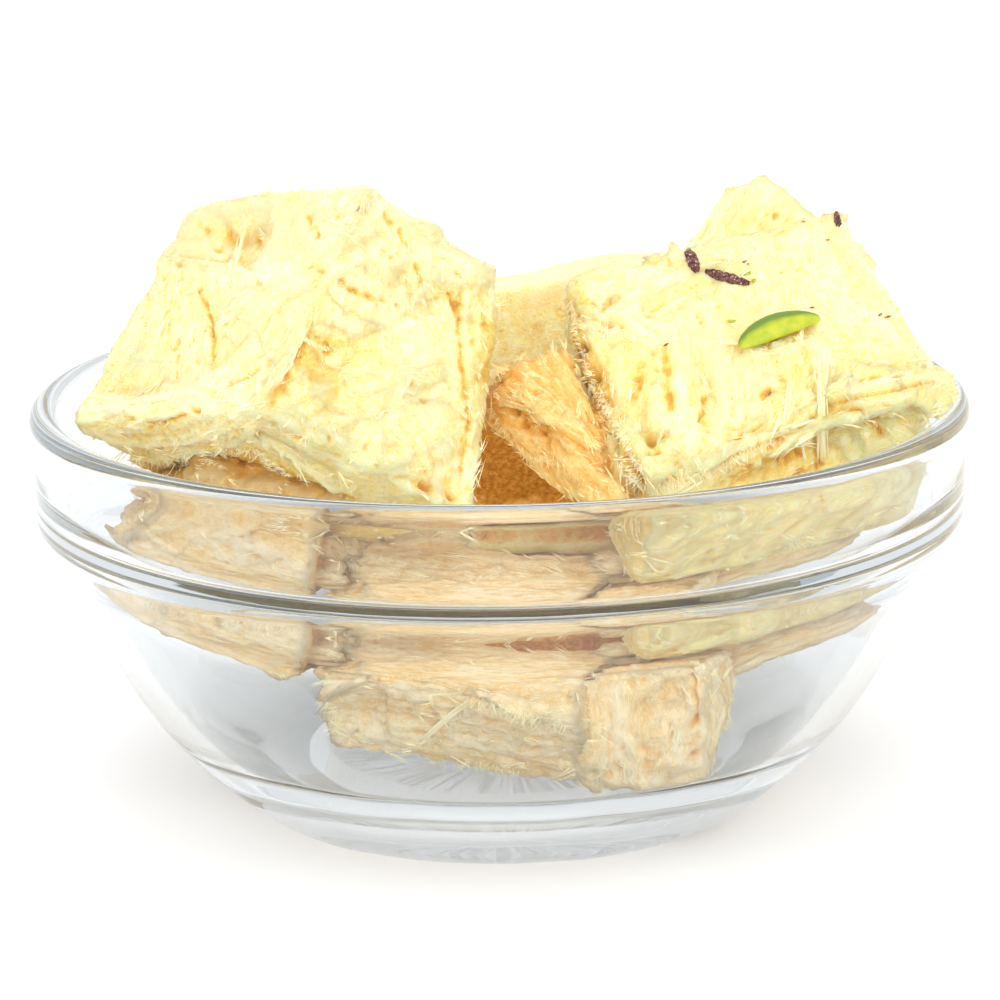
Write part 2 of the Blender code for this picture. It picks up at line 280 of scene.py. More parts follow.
def modified(source: Mesh, kind: str, **settings: object) -> Mesh:
    """Apply one modifier to a mesh.

    Args:
        source: the mesh.
        kind: the modifier's type.
        **settings: its settings.

    Returns:
        The new mesh.
    """
    helper = add_object("helper", source)
    change = helper.modifiers.new("change", kind)
    for name, value in settings.items():
        setattr(change, name, value)
    graph = bpy.context.evaluated_depsgraph_get()
    graph.update()
    made = bpy.data.meshes.new_from_object(helper.evaluated_get(graph))
    bpy.data.objects.remove(helper, do_unlink=True)
    return made


def welded(node: str, cut_below: float = 0.0) -> Mesh:
    """Copy a solid of the frame as one closed skin.

    Args:
        node: its name.
        cut_below: what is below this height, in millimetres, is cut off.

    Returns:
        The new mesh.
    """
    work = bmesh.new()
    work.from_mesh(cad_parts[node].data)
    bmesh.ops.remove_doubles(work, verts=work.verts, dist=0.01 * MM)
    if cut_below > 0.0:
        bmesh.ops.bisect_plane(work, geom=work.verts[:] + work.edges[:] + work.faces[:], clear_inner=True,
                               plane_co=(0.0, 0.0, cut_below * MM), plane_no=(0.0, 0.0, 1.0))
        bmesh.ops.holes_fill(work, edges=[edge for edge in work.edges if edge.is_boundary])
    made = bpy.data.meshes.new(node + "_solid")
    work.to_mesh(made)
    work.free()
    return made


def tree_of(mesh: Mesh) -> BVHTree:
    """Return a search tree of a mesh's faces."""
    work = bmesh.new()
    work.from_mesh(mesh)
    tree = BVHTree.FromBMesh(work)
    work.free()
    return tree


@dataclass
class Scatter:
    """Random places on a mesh's skin."""

    mesh: Mesh
    rng: np.random.Generator

    def pick(self, count: int, liking: Rows | None = None) -> tuple[Rows, Rows, Rows]:
        """Pick places over the skin, evenly or more where a point is liked more.

        Args:
            count: how many.
            liking: for each point of the mesh how much it is liked.

        Returns:
            The places, the directions in which the skin faces there, and the point nearest to each.
        """
        mesh = self.mesh
        mesh.calc_loop_triangles()
        corners = read(mesh.loop_triangles, "vertices", 3, np.int32)
        points = points_of(mesh)
        a, b, c = (points[corners[:, k]] for k in range(3))
        across = np.cross(b - a, c - a)
        area = np.linalg.norm(across, axis=1)
        share = area if liking is None else area * liking[corners].mean(1)
        chosen = self.rng.choice(len(area), count, p=share / share.sum())
        u, v = self.rng.random((2, count, 1))
        flip = (u + v) > 1.0
        u = np.where(flip, 1.0 - u, u)
        v = np.where(flip, 1.0 - v, v)
        places = a[chosen] * (1.0 - u - v) + b[chosen] * u + c[chosen] * v
        return places, unit(across[chosen]), corners[chosen, 0]


# ---- flakes and threads ------------------------------------------------------------------------
@dataclass
class ChipShape:
    """A small ragged plate, thick in the middle and thin at its edge."""

    sides: int = 7
    ragged: float = 0.30

    def faces(self) -> Rows:
        """Return the faces of one chip: a ring with a point above and a point below it."""
        n = self.sides
        rows = [(k, (k + 1) % n, n) for k in range(n)]
        rows += [((k + 1) % n, k, n + 1) for k in range(n)]
        return np.array(rows)

    def add(self, soup: Soup, places: Rows, axes: Rows, sizes: Rows,
            rng: np.random.Generator) -> None:
        """Add one chip at each place.

        Args:
            soup: where they go.
            places: their middles.
            axes: for each its long, wide and thick directions.
            sizes: for each its length, width and thickness.
            rng: random numbers.
        """
        n = self.sides
        count = len(places)
        turn = np.arange(n) * math.tau / n + rng.uniform(-0.25, 0.25, (count, n))
        reach = 0.5 * (1.0 - self.ragged * rng.random((count, n)))
        ring = np.stack([np.cos(turn) * reach, np.sin(turn) * reach,
                         rng.uniform(-0.35, 0.35, (count, n))], 2)
        tips = np.zeros((count, 2, 3))
        tips[:, :, :2] = rng.uniform(-0.12, 0.12, (count, 2, 2))
        tips[:, 0, 2] = 0.5
        tips[:, 1, 2] = -0.5
        local = np.concatenate([ring, tips], 1) * sizes[:, None, :]
        world = places[:, None, :] + np.einsum("nij,nkj->nki", axes.transpose(0, 2, 1), local)
        template = self.faces()
        starts = np.arange(count)[:, None, None] * (n + 2)
        soup.add(world.reshape(-1, 3), (template[None] + starts).reshape(-1, 3))


@dataclass
class ThreadShape:
    """Thin tapered threads of spun sugar."""

    rings: int = 4
    sides: int = 3

    def faces(self) -> list[list[int]]:
        """Return the faces of one thread, which ends in a point."""
        n = self.sides
        rows: list[list[int]] = [list(range(n - 1, -1, -1))]
        for ring in range(self.rings - 2):
            for side in range(n):
                a = ring * n + side
                b = ring * n + (side + 1) % n
                rows.append([a, b, b + n, a + n])
        last = (self.rings - 2) * n
        return rows + [[last + side, last + (side + 1) % n, last + n] for side in range(n)]

    def add(self, soup: Soup, paths: Rows, widths: Rows) -> None:
        """Add threads along their paths.

        Args:
            soup: where they go.
            paths: for each thread its points, one for each ring.
            widths: for each thread its half width at each ring.
        """
        count, rings, _ = paths.shape
        along = np.gradient(paths, axis=1)
        along /= np.maximum(np.linalg.norm(along, axis=2, keepdims=True), 1e-12)
        helper = np.where(np.abs(along[:, :, 2:3]) > 0.8, np.array([1.0, 0.0, 0.0]),
                          np.array([0.0, 0.0, 1.0]))
        side = np.cross(along, helper)
        side /= np.linalg.norm(side, axis=2, keepdims=True)
        other = np.cross(along, side)
        corners = []
        for k in range(self.sides):
            angle = k * math.tau / self.sides
            corners.append(paths + (side * math.cos(angle) + other * math.sin(angle))
                           * widths[:, :, None])
        template = self.faces()
        each = (rings - 1) * self.sides + 1
        for number in range(count):
            start = soup.count + number * each
            soup.faces.extend([corner + start for corner in face] for face in template)
        body = np.stack(corners, 2)[:, :-1].reshape(count, -1, 3)
        soup.points.append(np.concatenate([body, paths[:, -1:]], 1).reshape(-1, 3))
        soup.count += count * each


def turned(first: Rows, second: Rows, angle: Rows) -> tuple[Rows, Rows]:
    """Turn two directions that are square to each other, from the first towards the second."""
    return (first * np.cos(angle) + second * np.sin(angle),
            second * np.cos(angle) - first * np.sin(angle))


def frames_on(normals: Rows, grain: Rows, spread: float, lift: Rows,
              rng: np.random.Generator) -> Rows:
    """Frames that lie on a skin along its grain.

    Args:
        normals: the directions in which the skin faces.
        grain: the direction of the grain at each place.
        spread: how far a frame may turn from the grain, in radians.
        lift: how far each frame is tipped up, in radians.
        rng: random numbers.

    Returns:
        For each place its long, wide and thick directions.
    """
    along = grain - normals * np.sum(normals * grain, axis=1)[:, None]
    weak = np.linalg.norm(along, axis=1) < 0.25
    along[weak] = np.cross(normals[weak], rng.normal(size=(int(weak.sum()), 3)))
    along = unit(along)
    wide = np.cross(normals, along)
    along, wide = turned(along, wide, rng.uniform(-spread, spread, len(normals))[:, None])
    raised, thick = turned(along, normals, lift[:, None])
    wide, thick = turned(wide, thick, rng.normal(0.0, 0.22, len(normals))[:, None])
    return np.stack([raised, wide, thick], 1)


# ---- the view of the photograph ----------------------------------------------------------------
@dataclass
class PhotoCamera:
    """The camera, where the photographer's stood."""

    distance: float = 0.550
    elevation: float = math.radians(14.5)
    target_height: float = 0.0388
    focal_pixels: float = 4262.0
    roll: float = math.radians(0.8)
    side_shift: float = -0.0005
    sensor: float = 36.0
    picture: float = 1000.0

    def matrix(self) -> Matrix:
        """Return the camera's place and turn."""
        place = Vector((0.0, -self.distance * math.cos(self.elevation),
                        self.target_height + self.distance * math.sin(self.elevation)))
        turn = (Vector((0.0, 0.0, self.target_height)) - place).to_track_quat("-Z", "Y").to_matrix()
        turn = turn @ Matrix.Rotation(-self.roll, 3, "Z")
        return Matrix.Translation(place) @ turn.to_4x4()

    def build(self) -> None:
        """Make the camera and look through it."""
        data = bpy.data.cameras.new("photo_camera")
        data.sensor_width = self.sensor
        data.lens = self.sensor * self.focal_pixels / self.picture
        data.shift_x = self.side_shift
        data.clip_start = 0.01
        data.clip_end = 20.0
        made = bpy.data.objects.new("photo_camera", data)
        bpy.context.scene.collection.objects.link(made)
        made.matrix_world = self.matrix()
        bpy.context.scene.camera = made

    def ray(self, x: float, y: float) -> tuple[Vector, Vector]:
        """The line of sight through a place of the picture.

        Args:
            x: from the left, in thousandths of the picture.
            y: from the top, in thousandths of the picture.

        Returns:
            Where the line starts and its direction.
        """
        matrix = self.matrix()
        middle = self.picture * (0.5 - self.side_shift)
        local = Vector(((x - middle) / self.focal_pixels,
                        (self.picture / 2.0 - y) / self.focal_pixels, -1.0))
        return matrix.translation.copy(), (matrix.to_3x3() @ local).normalized()

    def seen_on(self, tree: BVHTree, spots: list[Spot]) -> tuple[Rows, Rows]:
        """Find what is seen at places of the picture on one piece.

        Args:
            tree: the piece's faces.
            spots: the places.

        Returns:
            The points and the directions in which the skin faces there.
        """
        points = []
        normals = []
        for x, y in spots:
            start, way = self.ray(x, y)
            place, normal, _, _ = tree.ray_cast(start, way)
            if place is None:
                place, normal, _, _ = tree.find_nearest(start + way * self.distance)
            points.append(tuple(place))
            normals.append(tuple(normal if normal.dot(way) < 0.0 else -normal))
        return np.array(points), np.array(normals)


CAMERA = PhotoCamera()


# ---- finishes ----------------------------------------------------------------------------------
class NodeSheet:
    """A short way to write the nodes of a material or of the surroundings."""

    def __init__(self, owner: Material | bpy.types.World, shader: str = "Principled BSDF") -> None:
        """Start with the owner's shader and a place to read from.

        Args:
            owner: what the nodes belong to.
            shader: the name of its shader.
        """
        owner.use_nodes = True
        self.owner = owner
        self.tree = owner.node_tree
        self.shader = self.tree.nodes[shader]
        self.place = self.node("TexCoord").outputs["Object"]

    @classmethod
    def material(cls, name: str) -> "NodeSheet":
        """Start a material of that name."""
        return cls(bpy.data.materials.new(name))

    def feed(self, socket: Socket, value: object) -> None:
        """Give a socket what it reads.

        Args:
            socket: the socket.
            value: another socket, a colour or a value.
        """
        if isinstance(value, Socket):
            self.tree.links.new(value, socket)
        else:
            socket.default_value = (*value, 1.0) if socket.type == "RGBA" else value

    def node(self, kind: str, sockets: dict[str | int, object] | None = None,
             **settings: object) -> bpy.types.Node:
        """Add a node.

        Args:
            kind: its type.
            sockets: what its inputs read.
            **settings: its settings.

        Returns:
            The node.
        """
        made = self.tree.nodes.new("ShaderNode" + kind)
        for name, value in settings.items():
            setattr(made, name, value)
        for key, value in (sockets or {}).items():
            self.feed(made.inputs[key], value)
        return made

    def set(self, **values: object) -> None:
        """Feed the shader's own sockets, by names with _ for a space."""
        for name, value in values.items():
            self.feed(self.shader.inputs[name.replace("_", " ")], value)

    def attribute(self, name: str, output: str = "Fac") -> Socket:
        """Return what is kept on the mesh under a name."""
        return self.node("Attribute", attribute_name=name).outputs[output]

    def noise(self, size: float, detail: float, rough: float = 0.55, warp: float = 0.0) -> Socket:
        """Add noise in space.

        Args:
            size: the size of its lumps, in millimetres.
            detail: how many octaves.
            rough: how strong the fine octaves are.
            warp: how far it is twisted.

        Returns:
            Values round 0.5.
        """
        scale = self.node("Mapping", {"Vector": self.place, "Scale": (1.0 / (size * MM),) * 3})
        return self.node("TexNoise", {"Vector": scale.outputs["Vector"], "Scale": 1.0, "Detail": detail,
                                      "Roughness": rough, "Distortion": warp}).outputs["Fac"]

    def ramp(self, source: Socket, *stops: tuple[float, Colour]) -> Socket:
        """Colours along a value.

        Args:
            source: the value.
            *stops: places from 0 to 1 with their colours.

        Returns:
            The colour.
        """
        made = self.node("ValToRGB", {"Fac": source})
        band = made.color_ramp
        while len(band.elements) < len(stops):
            band.elements.new(0.5)
        for element, (place, colour) in zip(band.elements, stops):
            element.position = place
            element.color = (*colour, 1.0)
        return made.outputs["Color"]

    def blend(self, factor: object, low: object, high: object) -> Socket:
        """Mix two colours, each a socket or a value, with a factor for how much of the second."""
        return self.node("Mix", {0: factor, 6: low, 7: high}, data_type="RGBA").outputs[2]

    def math(self, way: str, first: object, second: object) -> Socket:
        """Work one sum of two sockets or numbers, kept from 0 to 1."""
        return self.node("Math", {0: first, 1: second}, operation=way, use_clamp=True).outputs[0]

    def total(self, *parts: tuple[Socket, float]) -> Socket:
        """Add up values by their weights.

        Args:
            *parts: the values with their weights.

        Returns:
            The sum, kept from 0 to 1.
        """
        made: object = 0.0
        for value, weight in parts:
            made = self.math("ADD", made, self.math("MULTIPLY", value, weight))
        return made

    def bump(self, height: Socket, depth: float, strength: float) -> None:
        """Roughen the shader's skin by a height.

        Args:
            height: the height.
            depth: how deep it goes, in millimetres.
            strength: how much of it is felt.
        """
        made = self.node("Bump", {"Distance": depth * MM, "Strength": strength, "Height": height})
        self.set(Normal=made.outputs["Normal"])


@dataclass(frozen=True)
class FlossFinish:
    """Spun sugar and flour: pale lemon on the crust, with golden painted shade in the cracks and brown painted
    shade where closed in.
    """

    name: str
    light: Colour = (1.0, 0.96, 0.68)
    pale: Colour = (0.98, 0.91, 0.50)
    body: Colour = (0.98, 0.83, 0.35)
    tan: Colour = (0.97, 0.80, 0.46)
    # a golden tone of the crust, and also the colour of the painted shade in cracks and hollows
    gold: Colour = (0.92, 0.62, 0.15)
    # painted brown shade where the skin is most closed in, not a colour the sweet has of its own
    deep: Colour = (0.68, 0.31, 0.05)
    drawn: bool = True
    scatter: float = 0.65

    def build(self) -> Material:
        """Make the material, which follows the fibres of a skin that is drawn.

        Returns:
            The material.
        """
        sheet = NodeSheet.material(self.name)
        if self.drawn:
            sheet.place = sheet.attribute("combed", "Vector")
        broad = sheet.noise(5.0, 3.0, 0.6, 0.4)
        fine = sheet.noise(0.50, 3.0, 0.65)
        fibre = sheet.noise(0.21, 2.0, 0.6)
        skin = sheet.ramp(sheet.total((broad, 0.40), (fine, 0.30), (fibre, 0.30)),
                          (0.37, self.gold), (0.44, self.body), (0.51, self.pale), (0.58, self.light))
        # depth carries painted shade: it rises in hollows and cracks, under flaps, where other pieces close
        # the skin in, and on faces turned down
        depth = sheet.attribute("depth")
        if self.drawn:
            skin = sheet.blend(sheet.math("MULTIPLY", sheet.attribute("tan"), 0.8), skin, self.tan)
            jitter = sheet.math("MULTIPLY", sheet.math("SUBTRACT", 0.62, fine), 1.2)
            depth = sheet.math("MULTIPLY", depth, sheet.math("ADD", jitter, 0.75))
            sheet.set(Subsurface_Weight=self.scatter, Subsurface_Radius=(1.0, 0.55, 0.22),
                      Subsurface_Scale=3.5 * MM)
            sheet.bump(sheet.total((fine, 0.5), (fibre, 0.5)), 0.45, 0.9)
        # painted shade: golden where depth is high, brown where it is higher still
        skin = sheet.blend(sheet.math("MULTIPLY", depth, 1.6), skin, self.gold)
        painted_brown_shade = sheet.math("MULTIPLY", sheet.math("SUBTRACT", depth, 0.55), 2.0)
        sheet.set(Base_Color=sheet.blend(painted_brown_shade, skin, self.deep), Roughness=0.75,
                  Specular_IOR_Level=0.2)
        return sheet.owner


@dataclass(frozen=True)
class GlassFinish:
    """Clear pressed glass that lets lamps through, and dims light that has been in it long."""

    name: str = "clear_pressed_glass"
    tint: Colour = (0.87, 0.887, 0.90)
    shade: Colour = (1.0, 0.985, 0.965)
    edge: Colour = (0.76, 0.785, 0.79)
    last_turn: float = 4.5

    def build(self) -> Material:
        """Make the material.

        Returns:
            The material.
        """
        sheet = NodeSheet.material(self.name)
        sheet.set(Base_Color=self.tint, Roughness=0.0, IOR=1.5, Transmission_Weight=1.0)
        sheet.bump(sheet.noise(9.0, 1.0), 0.05, 0.25)
        path = sheet.node("LightPath").outputs
        clear, through = (sheet.node("BsdfTransparent", {"Color": tone}).outputs[0]
                          for tone in (self.shade, self.edge))
        late = sheet.math("GREATER_THAN", path["Ray Depth"], self.last_turn)
        glass = sheet.node("MixShader", {0: late, 1: sheet.shader.outputs[0], 2: through}).outputs[0]
        surface = sheet.node("MixShader", {0: path["Is Shadow Ray"], 1: glass, 2: clear}).outputs[0]
        sheet.feed(sheet.tree.nodes["Material Output"].inputs["Surface"], surface)
        return sheet.owner


@dataclass(frozen=True)
class NutFinish:
    """Pistachio: light green inside, dark green along its skin."""

    name: str = "pistachio_flesh"
    flesh: Colour = (0.37, 0.44, 0.015)
    light: Colour = (0.50, 0.53, 0.02)
    skin: Colour = (0.12, 0.22, 0.010)

    def build(self) -> Material:
        """Make the material.

        Returns:
            The material.
        """
        sheet = NodeSheet.material(self.name)
        inside = sheet.ramp(sheet.noise(1.6, 3.0), (0.35, self.flesh), (0.65, self.light))
        sheet.set(Base_Color=sheet.blend(sheet.attribute("skin"), inside, self.skin),
                  Roughness=0.42, Specular_IOR_Level=0.45)
        sheet.bump(sheet.noise(0.35, 2.0), 0.08, 0.6)
        return sheet.owner


@dataclass(frozen=True)
class SkinFinish:
    """Brown almond skin, dusted with sugar."""

    name: str = "almond_skin"
    dark: Colour = (0.075, 0.022, 0.022)
    light: Colour = (0.22, 0.085, 0.070)
    dust: Colour = (0.80, 0.66, 0.58)

    def build(self) -> Material:
        """Make the material.

        Returns:
            The material.
        """
        sheet = NodeSheet.material(self.name)
        body = sheet.ramp(sheet.noise(0.8, 3.0), (0.40, self.dark), (0.66, self.light))
        specks = sheet.ramp(sheet.noise(0.30, 2.0), (0.60, (0.0, 0.0, 0.0)), (0.70, (1.0, 1.0, 1.0)))
        sheet.set(Base_Color=sheet.blend(specks, body, self.dust), Roughness=0.6, Specular_IOR_Level=0.3)
        sheet.bump(sheet.noise(0.4, 2.0), 0.15, 0.9)
        return sheet.owner


# ---- the bowl ----------------------------------------------------------------------------------
def arc(radius: float, height: float, bend: float, first: float, last: float, steps: int) -> list[Spot]:
    """Return radii and heights along an arc round a middle, with bend as its own radius."""
    angles = [first + (last - first) * i / steps for i in range(steps + 1)]
    return [(radius + bend * math.cos(angle), height + bend * math.sin(angle)) for angle in angles]


@dataclass
class GlassBowl:
    """The pressed bowl: rounded lip, upright band, ledge, round body and thick foot."""

    rim_radius: float = 0.0601
    rim_height: float = 0.0533
    lip_round: float = 0.0019
    band_radius: float = 0.0597
    band_bottom: float = 0.0384
    band_round: float = 0.0022
    step_bottom: float = 0.0305
    body_radius: float = 0.0569
    body_centre: float = 0.0471
    wall: float = 0.0030
    foot_radius: float = 0.0300
    floor_height: float = 0.0072
    floor_radius: float = 0.0270
    band_inside: float = 0.0562
    ledge_height: float = 0.0404
    turns: int = 208
    foot_wave: float = 0.00012
    rounding: int = 1
    waves: tuple[tuple[float, float, float], ...] = ((5, 0.7, 1.0), (11, 2.1, 0.8), (19, 0.0, 0.6))

    def ball(self, radius: float, height: float) -> float:
        """Return the radius at a height of a ball round the body's centre."""
        return math.sqrt(radius ** 2 - (self.body_centre - height) ** 2)

    def body_line(self, radius: float, first: float, last: float, steps: int) -> list[Spot]:
        """Return radii and heights along a ball round the body's centre, from first to last."""
        heights = [first + (last - first) * i / steps for i in range(steps + 1)]
        return [(self.ball(radius, height), height) for height in heights]

    def inside(self) -> list[Spot]:
        """Return the inside's profile, from the floor's middle up to the band."""
        ball = self.body_radius - self.wall
        floor = self.floor_height
        meet = floor + 0.0052
        top = self.ledge_height - 0.0042
        reach = self.ball(ball, meet)
        points = [(0.0, floor), (self.floor_radius * 0.5, floor), (self.floor_radius, floor)]
        points += [(self.floor_radius + (reach - self.floor_radius) * t, floor + (meet - floor) * t * t)
                   for t in (0.33, 0.66)]
        points += self.body_line(ball, meet, top, 14)
        points += [(self.ball(ball, top) + 0.0006, self.ledge_height - 0.0018),
                   (self.band_inside - 0.0008, self.ledge_height),
                   (self.band_inside, self.ledge_height + 0.0014)]
        return points

    def lip(self) -> list[Spot]:
        """Return the lip's profile, over its crest from inside to outside."""
        return arc(self.rim_radius - self.lip_round, self.rim_height - self.lip_round, self.lip_round,
                   math.pi, 0.0, 12)

    def outside(self) -> list[Spot]:
        """Return the outside's profile, from the band down to the middle of the foot."""
        points = [(self.band_radius, self.rim_height - self.lip_round - 0.0034)]
        points += arc(self.band_radius - self.band_round, self.band_bottom + 0.0012, self.band_round,
                      0.0, -math.radians(48.0), 4)
        neck = self.ball(self.body_radius, self.step_bottom)
        points += [(neck + 0.0018, self.step_bottom + 0.0036), (neck + 0.0004, self.step_bottom + 0.0012)]
        points += self.body_line(self.body_radius, self.step_bottom - 0.0010, 0.0014, 16)
        points += [(self.foot_radius + 0.0022, 0.0004), (self.foot_radius, 0.0),
                   (self.foot_radius * 0.5, 0.0), (0.0, 0.0)]
        return points

    def profile(self) -> Rows:
        """Return the whole profile with its corners rounded."""
        points = np.array(self.inside() + self.lip() + self.outside())
        for _ in range(self.rounding):
            near = points[:-1] * 0.75 + points[1:] * 0.25
            far = points[:-1] * 0.25 + points[1:] * 0.75
            middle = np.stack([near, far], 1).reshape(-1, 2)
            points = np.concatenate([points[:1], middle, points[-1:]])
        return points

    def build(self) -> Piece:
        """Turn the profile about Z and dress it."""
        points = self.profile()
        ring = points[1:-1]
        angles = np.arange(self.turns) * math.tau / self.turns
        wave = sum(share * np.sin(number * angles + turn) for number, turn, share in self.waves)
        low = smooth_step(0.014, 0.004, ring[:, 1]) * (np.arange(len(ring)) > ring[:, 1].argmax())
        radius = ring[:, :1] + np.outer(low, wave) * self.foot_wave
        grid = np.stack([radius * np.cos(angles), radius * np.sin(angles),
                         np.repeat(ring[:, 1:], self.turns, 1)], 2).reshape(-1, 3)
        ends = np.array([[0.0, 0.0, points[0, 1]], [0.0, 0.0, points[-1, 1]]])
        turn = self.turns
        faces = []
        for start in range(0, (len(ring) - 1) * turn, turn):
            for j in range(turn):
                k = (j + 1) % turn
                faces.append([start + j, start + k, start + turn + k, start + turn + j])
        last = len(ring) * turn
        for j in range(turn):
            k = (j + 1) % turn
            faces += [[last, k, j], [last + 1, last - turn + j, last - turn + k]]
        soup = Soup()
        soup.add(np.concatenate([grid, ends]), faces)
        bowl = add_object("clear_bowl", soup.mesh("clear_bowl"))
        work = bmesh.new()
        work.from_mesh(bowl.data)
        bmesh.ops.recalc_face_normals(work, faces=work.faces)
        work.to_mesh(bowl.data)
        work.free()
        dress(bowl, GlassFinish().build())
        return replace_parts(bowl, "glass_bowl")

    def keep_clear(self, points: Rows, gap: float = 0.00015) -> Rows:
        """Hold points inside the bowl, off its wall and floor, and inside the whole box.

        Args:
            points: the points, in rows of three.
            gap: how far from the glass they stay.

        Returns:
            The moved points, in the same order.
        """
        made = points.reshape(-1, 3).copy()
        profile = np.array(self.inside()[2:] + [(self.band_inside, self.rim_height - self.lip_round)])
        low = made[:, 2] < self.rim_height + gap
        limit = np.interp(made[:, 2], profile[:, 1], profile[:, 0]) - gap
        radius = np.hypot(made[:, 0], made[:, 1])
        squeeze = np.where(low & (radius > limit), limit / np.maximum(radius, 1e-9), 1.0)
        over = low & (radius > self.band_inside + 0.0022)
        made[:, :2] *= np.where(over, 1.0, squeeze)[:, None]
        made[over, 2] = self.rim_height + gap
        made[:, 2] = np.clip(made[:, 2], self.floor_height + gap, CAD_BOX[1].z - 0.00005)
        edge = self.rim_radius - 0.0001
        made[:, :2] = np.clip(made[:, :2], -edge, edge)
        return made.reshape(points.shape)


# ---- strokes over a piece ----------------------------------------------------------------------
class Mark(Enum):
    """What a stroke over a piece's skin does."""

    # A crack and a flap also paint shade into the colour, and a ridge paints a highlight.
    CRACK = "crack"
    RIDGE = "ridge"
    FLAP = "flap"
    FLOW = "flow"
    TAN = "tan"
    # painted shade: a golden tint where the height is above zero, painted light where it is below
    GOLD = "gold"
    STRAND = "strand"
    FRINGE = "fringe"


@dataclass(frozen=True)
class Stroke:
    """A line over a piece, drawn as the picture shows it: x and y in turn, sizes in millimetres."""

    STEP = 10.0  # between two points of the line, in thousandths of the picture
    mark: Mark
    width: float
    height: float
    spots: tuple[float, ...]

    def line(self, tree: BVHTree) -> tuple[Rows, Rows]:
        """Lay the line on a skin.

        Args:
            tree: the skin's faces.

        Returns:
            Its points and the directions in which the skin faces there.
        """
        pairs = list(zip(self.spots[::2], self.spots[1::2]))
        fine: list[Spot] = []
        for (x, y), (to_x, to_y) in zip(pairs[:-1], pairs[1:]):
            steps = max(1, int(math.hypot(to_x - x, to_y - y) / self.STEP))
            fine += [(x + (to_x - x) * k / steps, y + (to_y - y) * k / steps) for k in range(steps)]
        fine.append(pairs[-1])
        if len(fine) == 1:
            fine.append((fine[0][0] + 1.0, fine[0][1]))
        return CAMERA.seen_on(tree, fine)

    def nearness(self, points: Rows, tree: BVHTree) -> tuple[Rows, Rows, Rows]:
        """Measure points against the line.

        Args:
            points: the points.
            tree: the skin's faces.

        Returns:
            How far each is from the line, on which side, and which way the line goes there.
        """
        line, facing = self.line(tree)
        nearest, side, way = np.full(len(points), 1.0), np.zeros(len(points)), np.zeros((len(points), 3))
        for start, end, up in zip(line[:-1], line[1:], facing[:-1]):
            step = end - start
            part = np.clip((points - start) @ step / max(step @ step, 1e-14), 0.0, 1.0)
            offset = points - start - part[:, None] * step
            away = np.linalg.norm(offset, axis=1)
            closer = away < nearest
            nearest[closer] = away[closer]
            side[closer] = np.sign(offset[closer] @ np.cross(up, step))
            way[closer] = step / max(np.linalg.norm(step), 1e-12)
        return nearest, side, way


@dataclass
class Relief:
    """What the strokes do at each point of a skin."""

    height: Rows
    # painted shade that the strokes lay on the skin; below zero it is painted light
    gold: Rows
    tan: Rows
    fibre: Rows
    flow: Rows


# ---- the pieces of soan papdi ------------------------------------------------------------------
def evened(values: Rows, edges: Rows, rounds: int) -> Rows:
    """Even out values over a mesh.

    Args:
        values: one row for each point.
        edges: the two points of each edge.
        rounds: how often each point takes the middle of its neighbours.

    Returns:
        The evened values.
    """
    count = np.maximum(np.bincount(edges.ravel(), minlength=len(values)), 1)[:, None]
    rows = values.reshape(len(values), -1)
    for _ in range(rounds):
        total = [np.bincount(edges[:, 0], rows[edges[:, 1], k], len(rows))
                 + np.bincount(edges[:, 1], rows[edges[:, 0], k], len(rows)) for k in range(rows.shape[1])]
        rows = np.stack(total, 1) / count
    return rows.reshape(values.shape)


@dataclass
class Shelter:
    """How far each place of the heap is closed in by the pieces round it."""

    rays: int = 24
    reach: float = 0.030
    spots: int = 2200
    lift: float = 0.0016
    fading: float = 0.6
    neighbours: int = 4

    def __post_init__(self) -> None:
        """Gather the frame's solids, apart from the glass, as one tree."""
        soup = Soup()
        for name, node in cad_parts.items():
            if name != "glass_bowl":
                soup.add(points_of(node.data), faces_of(node.data))
        self.tree = tree_of(soup.mesh("shelter"))

    def closed(self, points: Rows, normals: Rows, rng: np.random.Generator) -> Rows:
        """Measure at a few points and spread the result to all.

        Args:
            points: a skin's points.
            normals: the directions in which it faces.
            rng: random numbers.

        Returns:
            0 in the open to 1 where nothing is seen but other pieces.
        """
        chosen = rng.choice(len(points), min(self.spots, len(points)), replace=False)
        search = KDTree(len(chosen))
        found = np.zeros(len(chosen))
        for number, index in enumerate(chosen):
            up = normals[index]
            start = Vector(points[index] + up * self.lift)
            ways = unit(unit(rng.normal(size=(self.rays, 3))) + up)
            hits = 0.0
            for way in ways:
                distance = self.tree.ray_cast(start, Vector(way), self.reach)[3]
                if distance is not None:
                    hits += 1.0 - self.fading * distance / self.reach
            found[number] = hits / self.rays
            search.insert(points[index], number)
        search.balance()
        result = np.zeros(len(points))
        for index, point in enumerate(points):
            near = [(1.0 / (away + 0.3 * MM), number)
                    for _, number, away in search.find_n(point, self.neighbours)]
            result[index] = sum(found[number] * weight for weight, number in near) / sum(w for w, _ in near)
        return result


@dataclass(frozen=True)
class CrustSizes:
    """The sizes of what a flaky crust is made of, in millimetres."""

    layer_cell: float = 1.3
    layer_reach: float = 4.0
    layer_height: float = 0.17
    fibre_cell: float = 0.70
    fibre_reach: float = 2.2
    fibre_height: float = 0.24
    crumb_cell: float = 0.85
    crumb_height: float = 0.26
    lump_cell: float = 4.2
    tear_cell: float = 1.7
    pit_cell: float = 2.3
    pit_depth: float = 0.7
    patch_cell: float = 5.5
    lowest: float = -1.6
    highest: float = 0.85


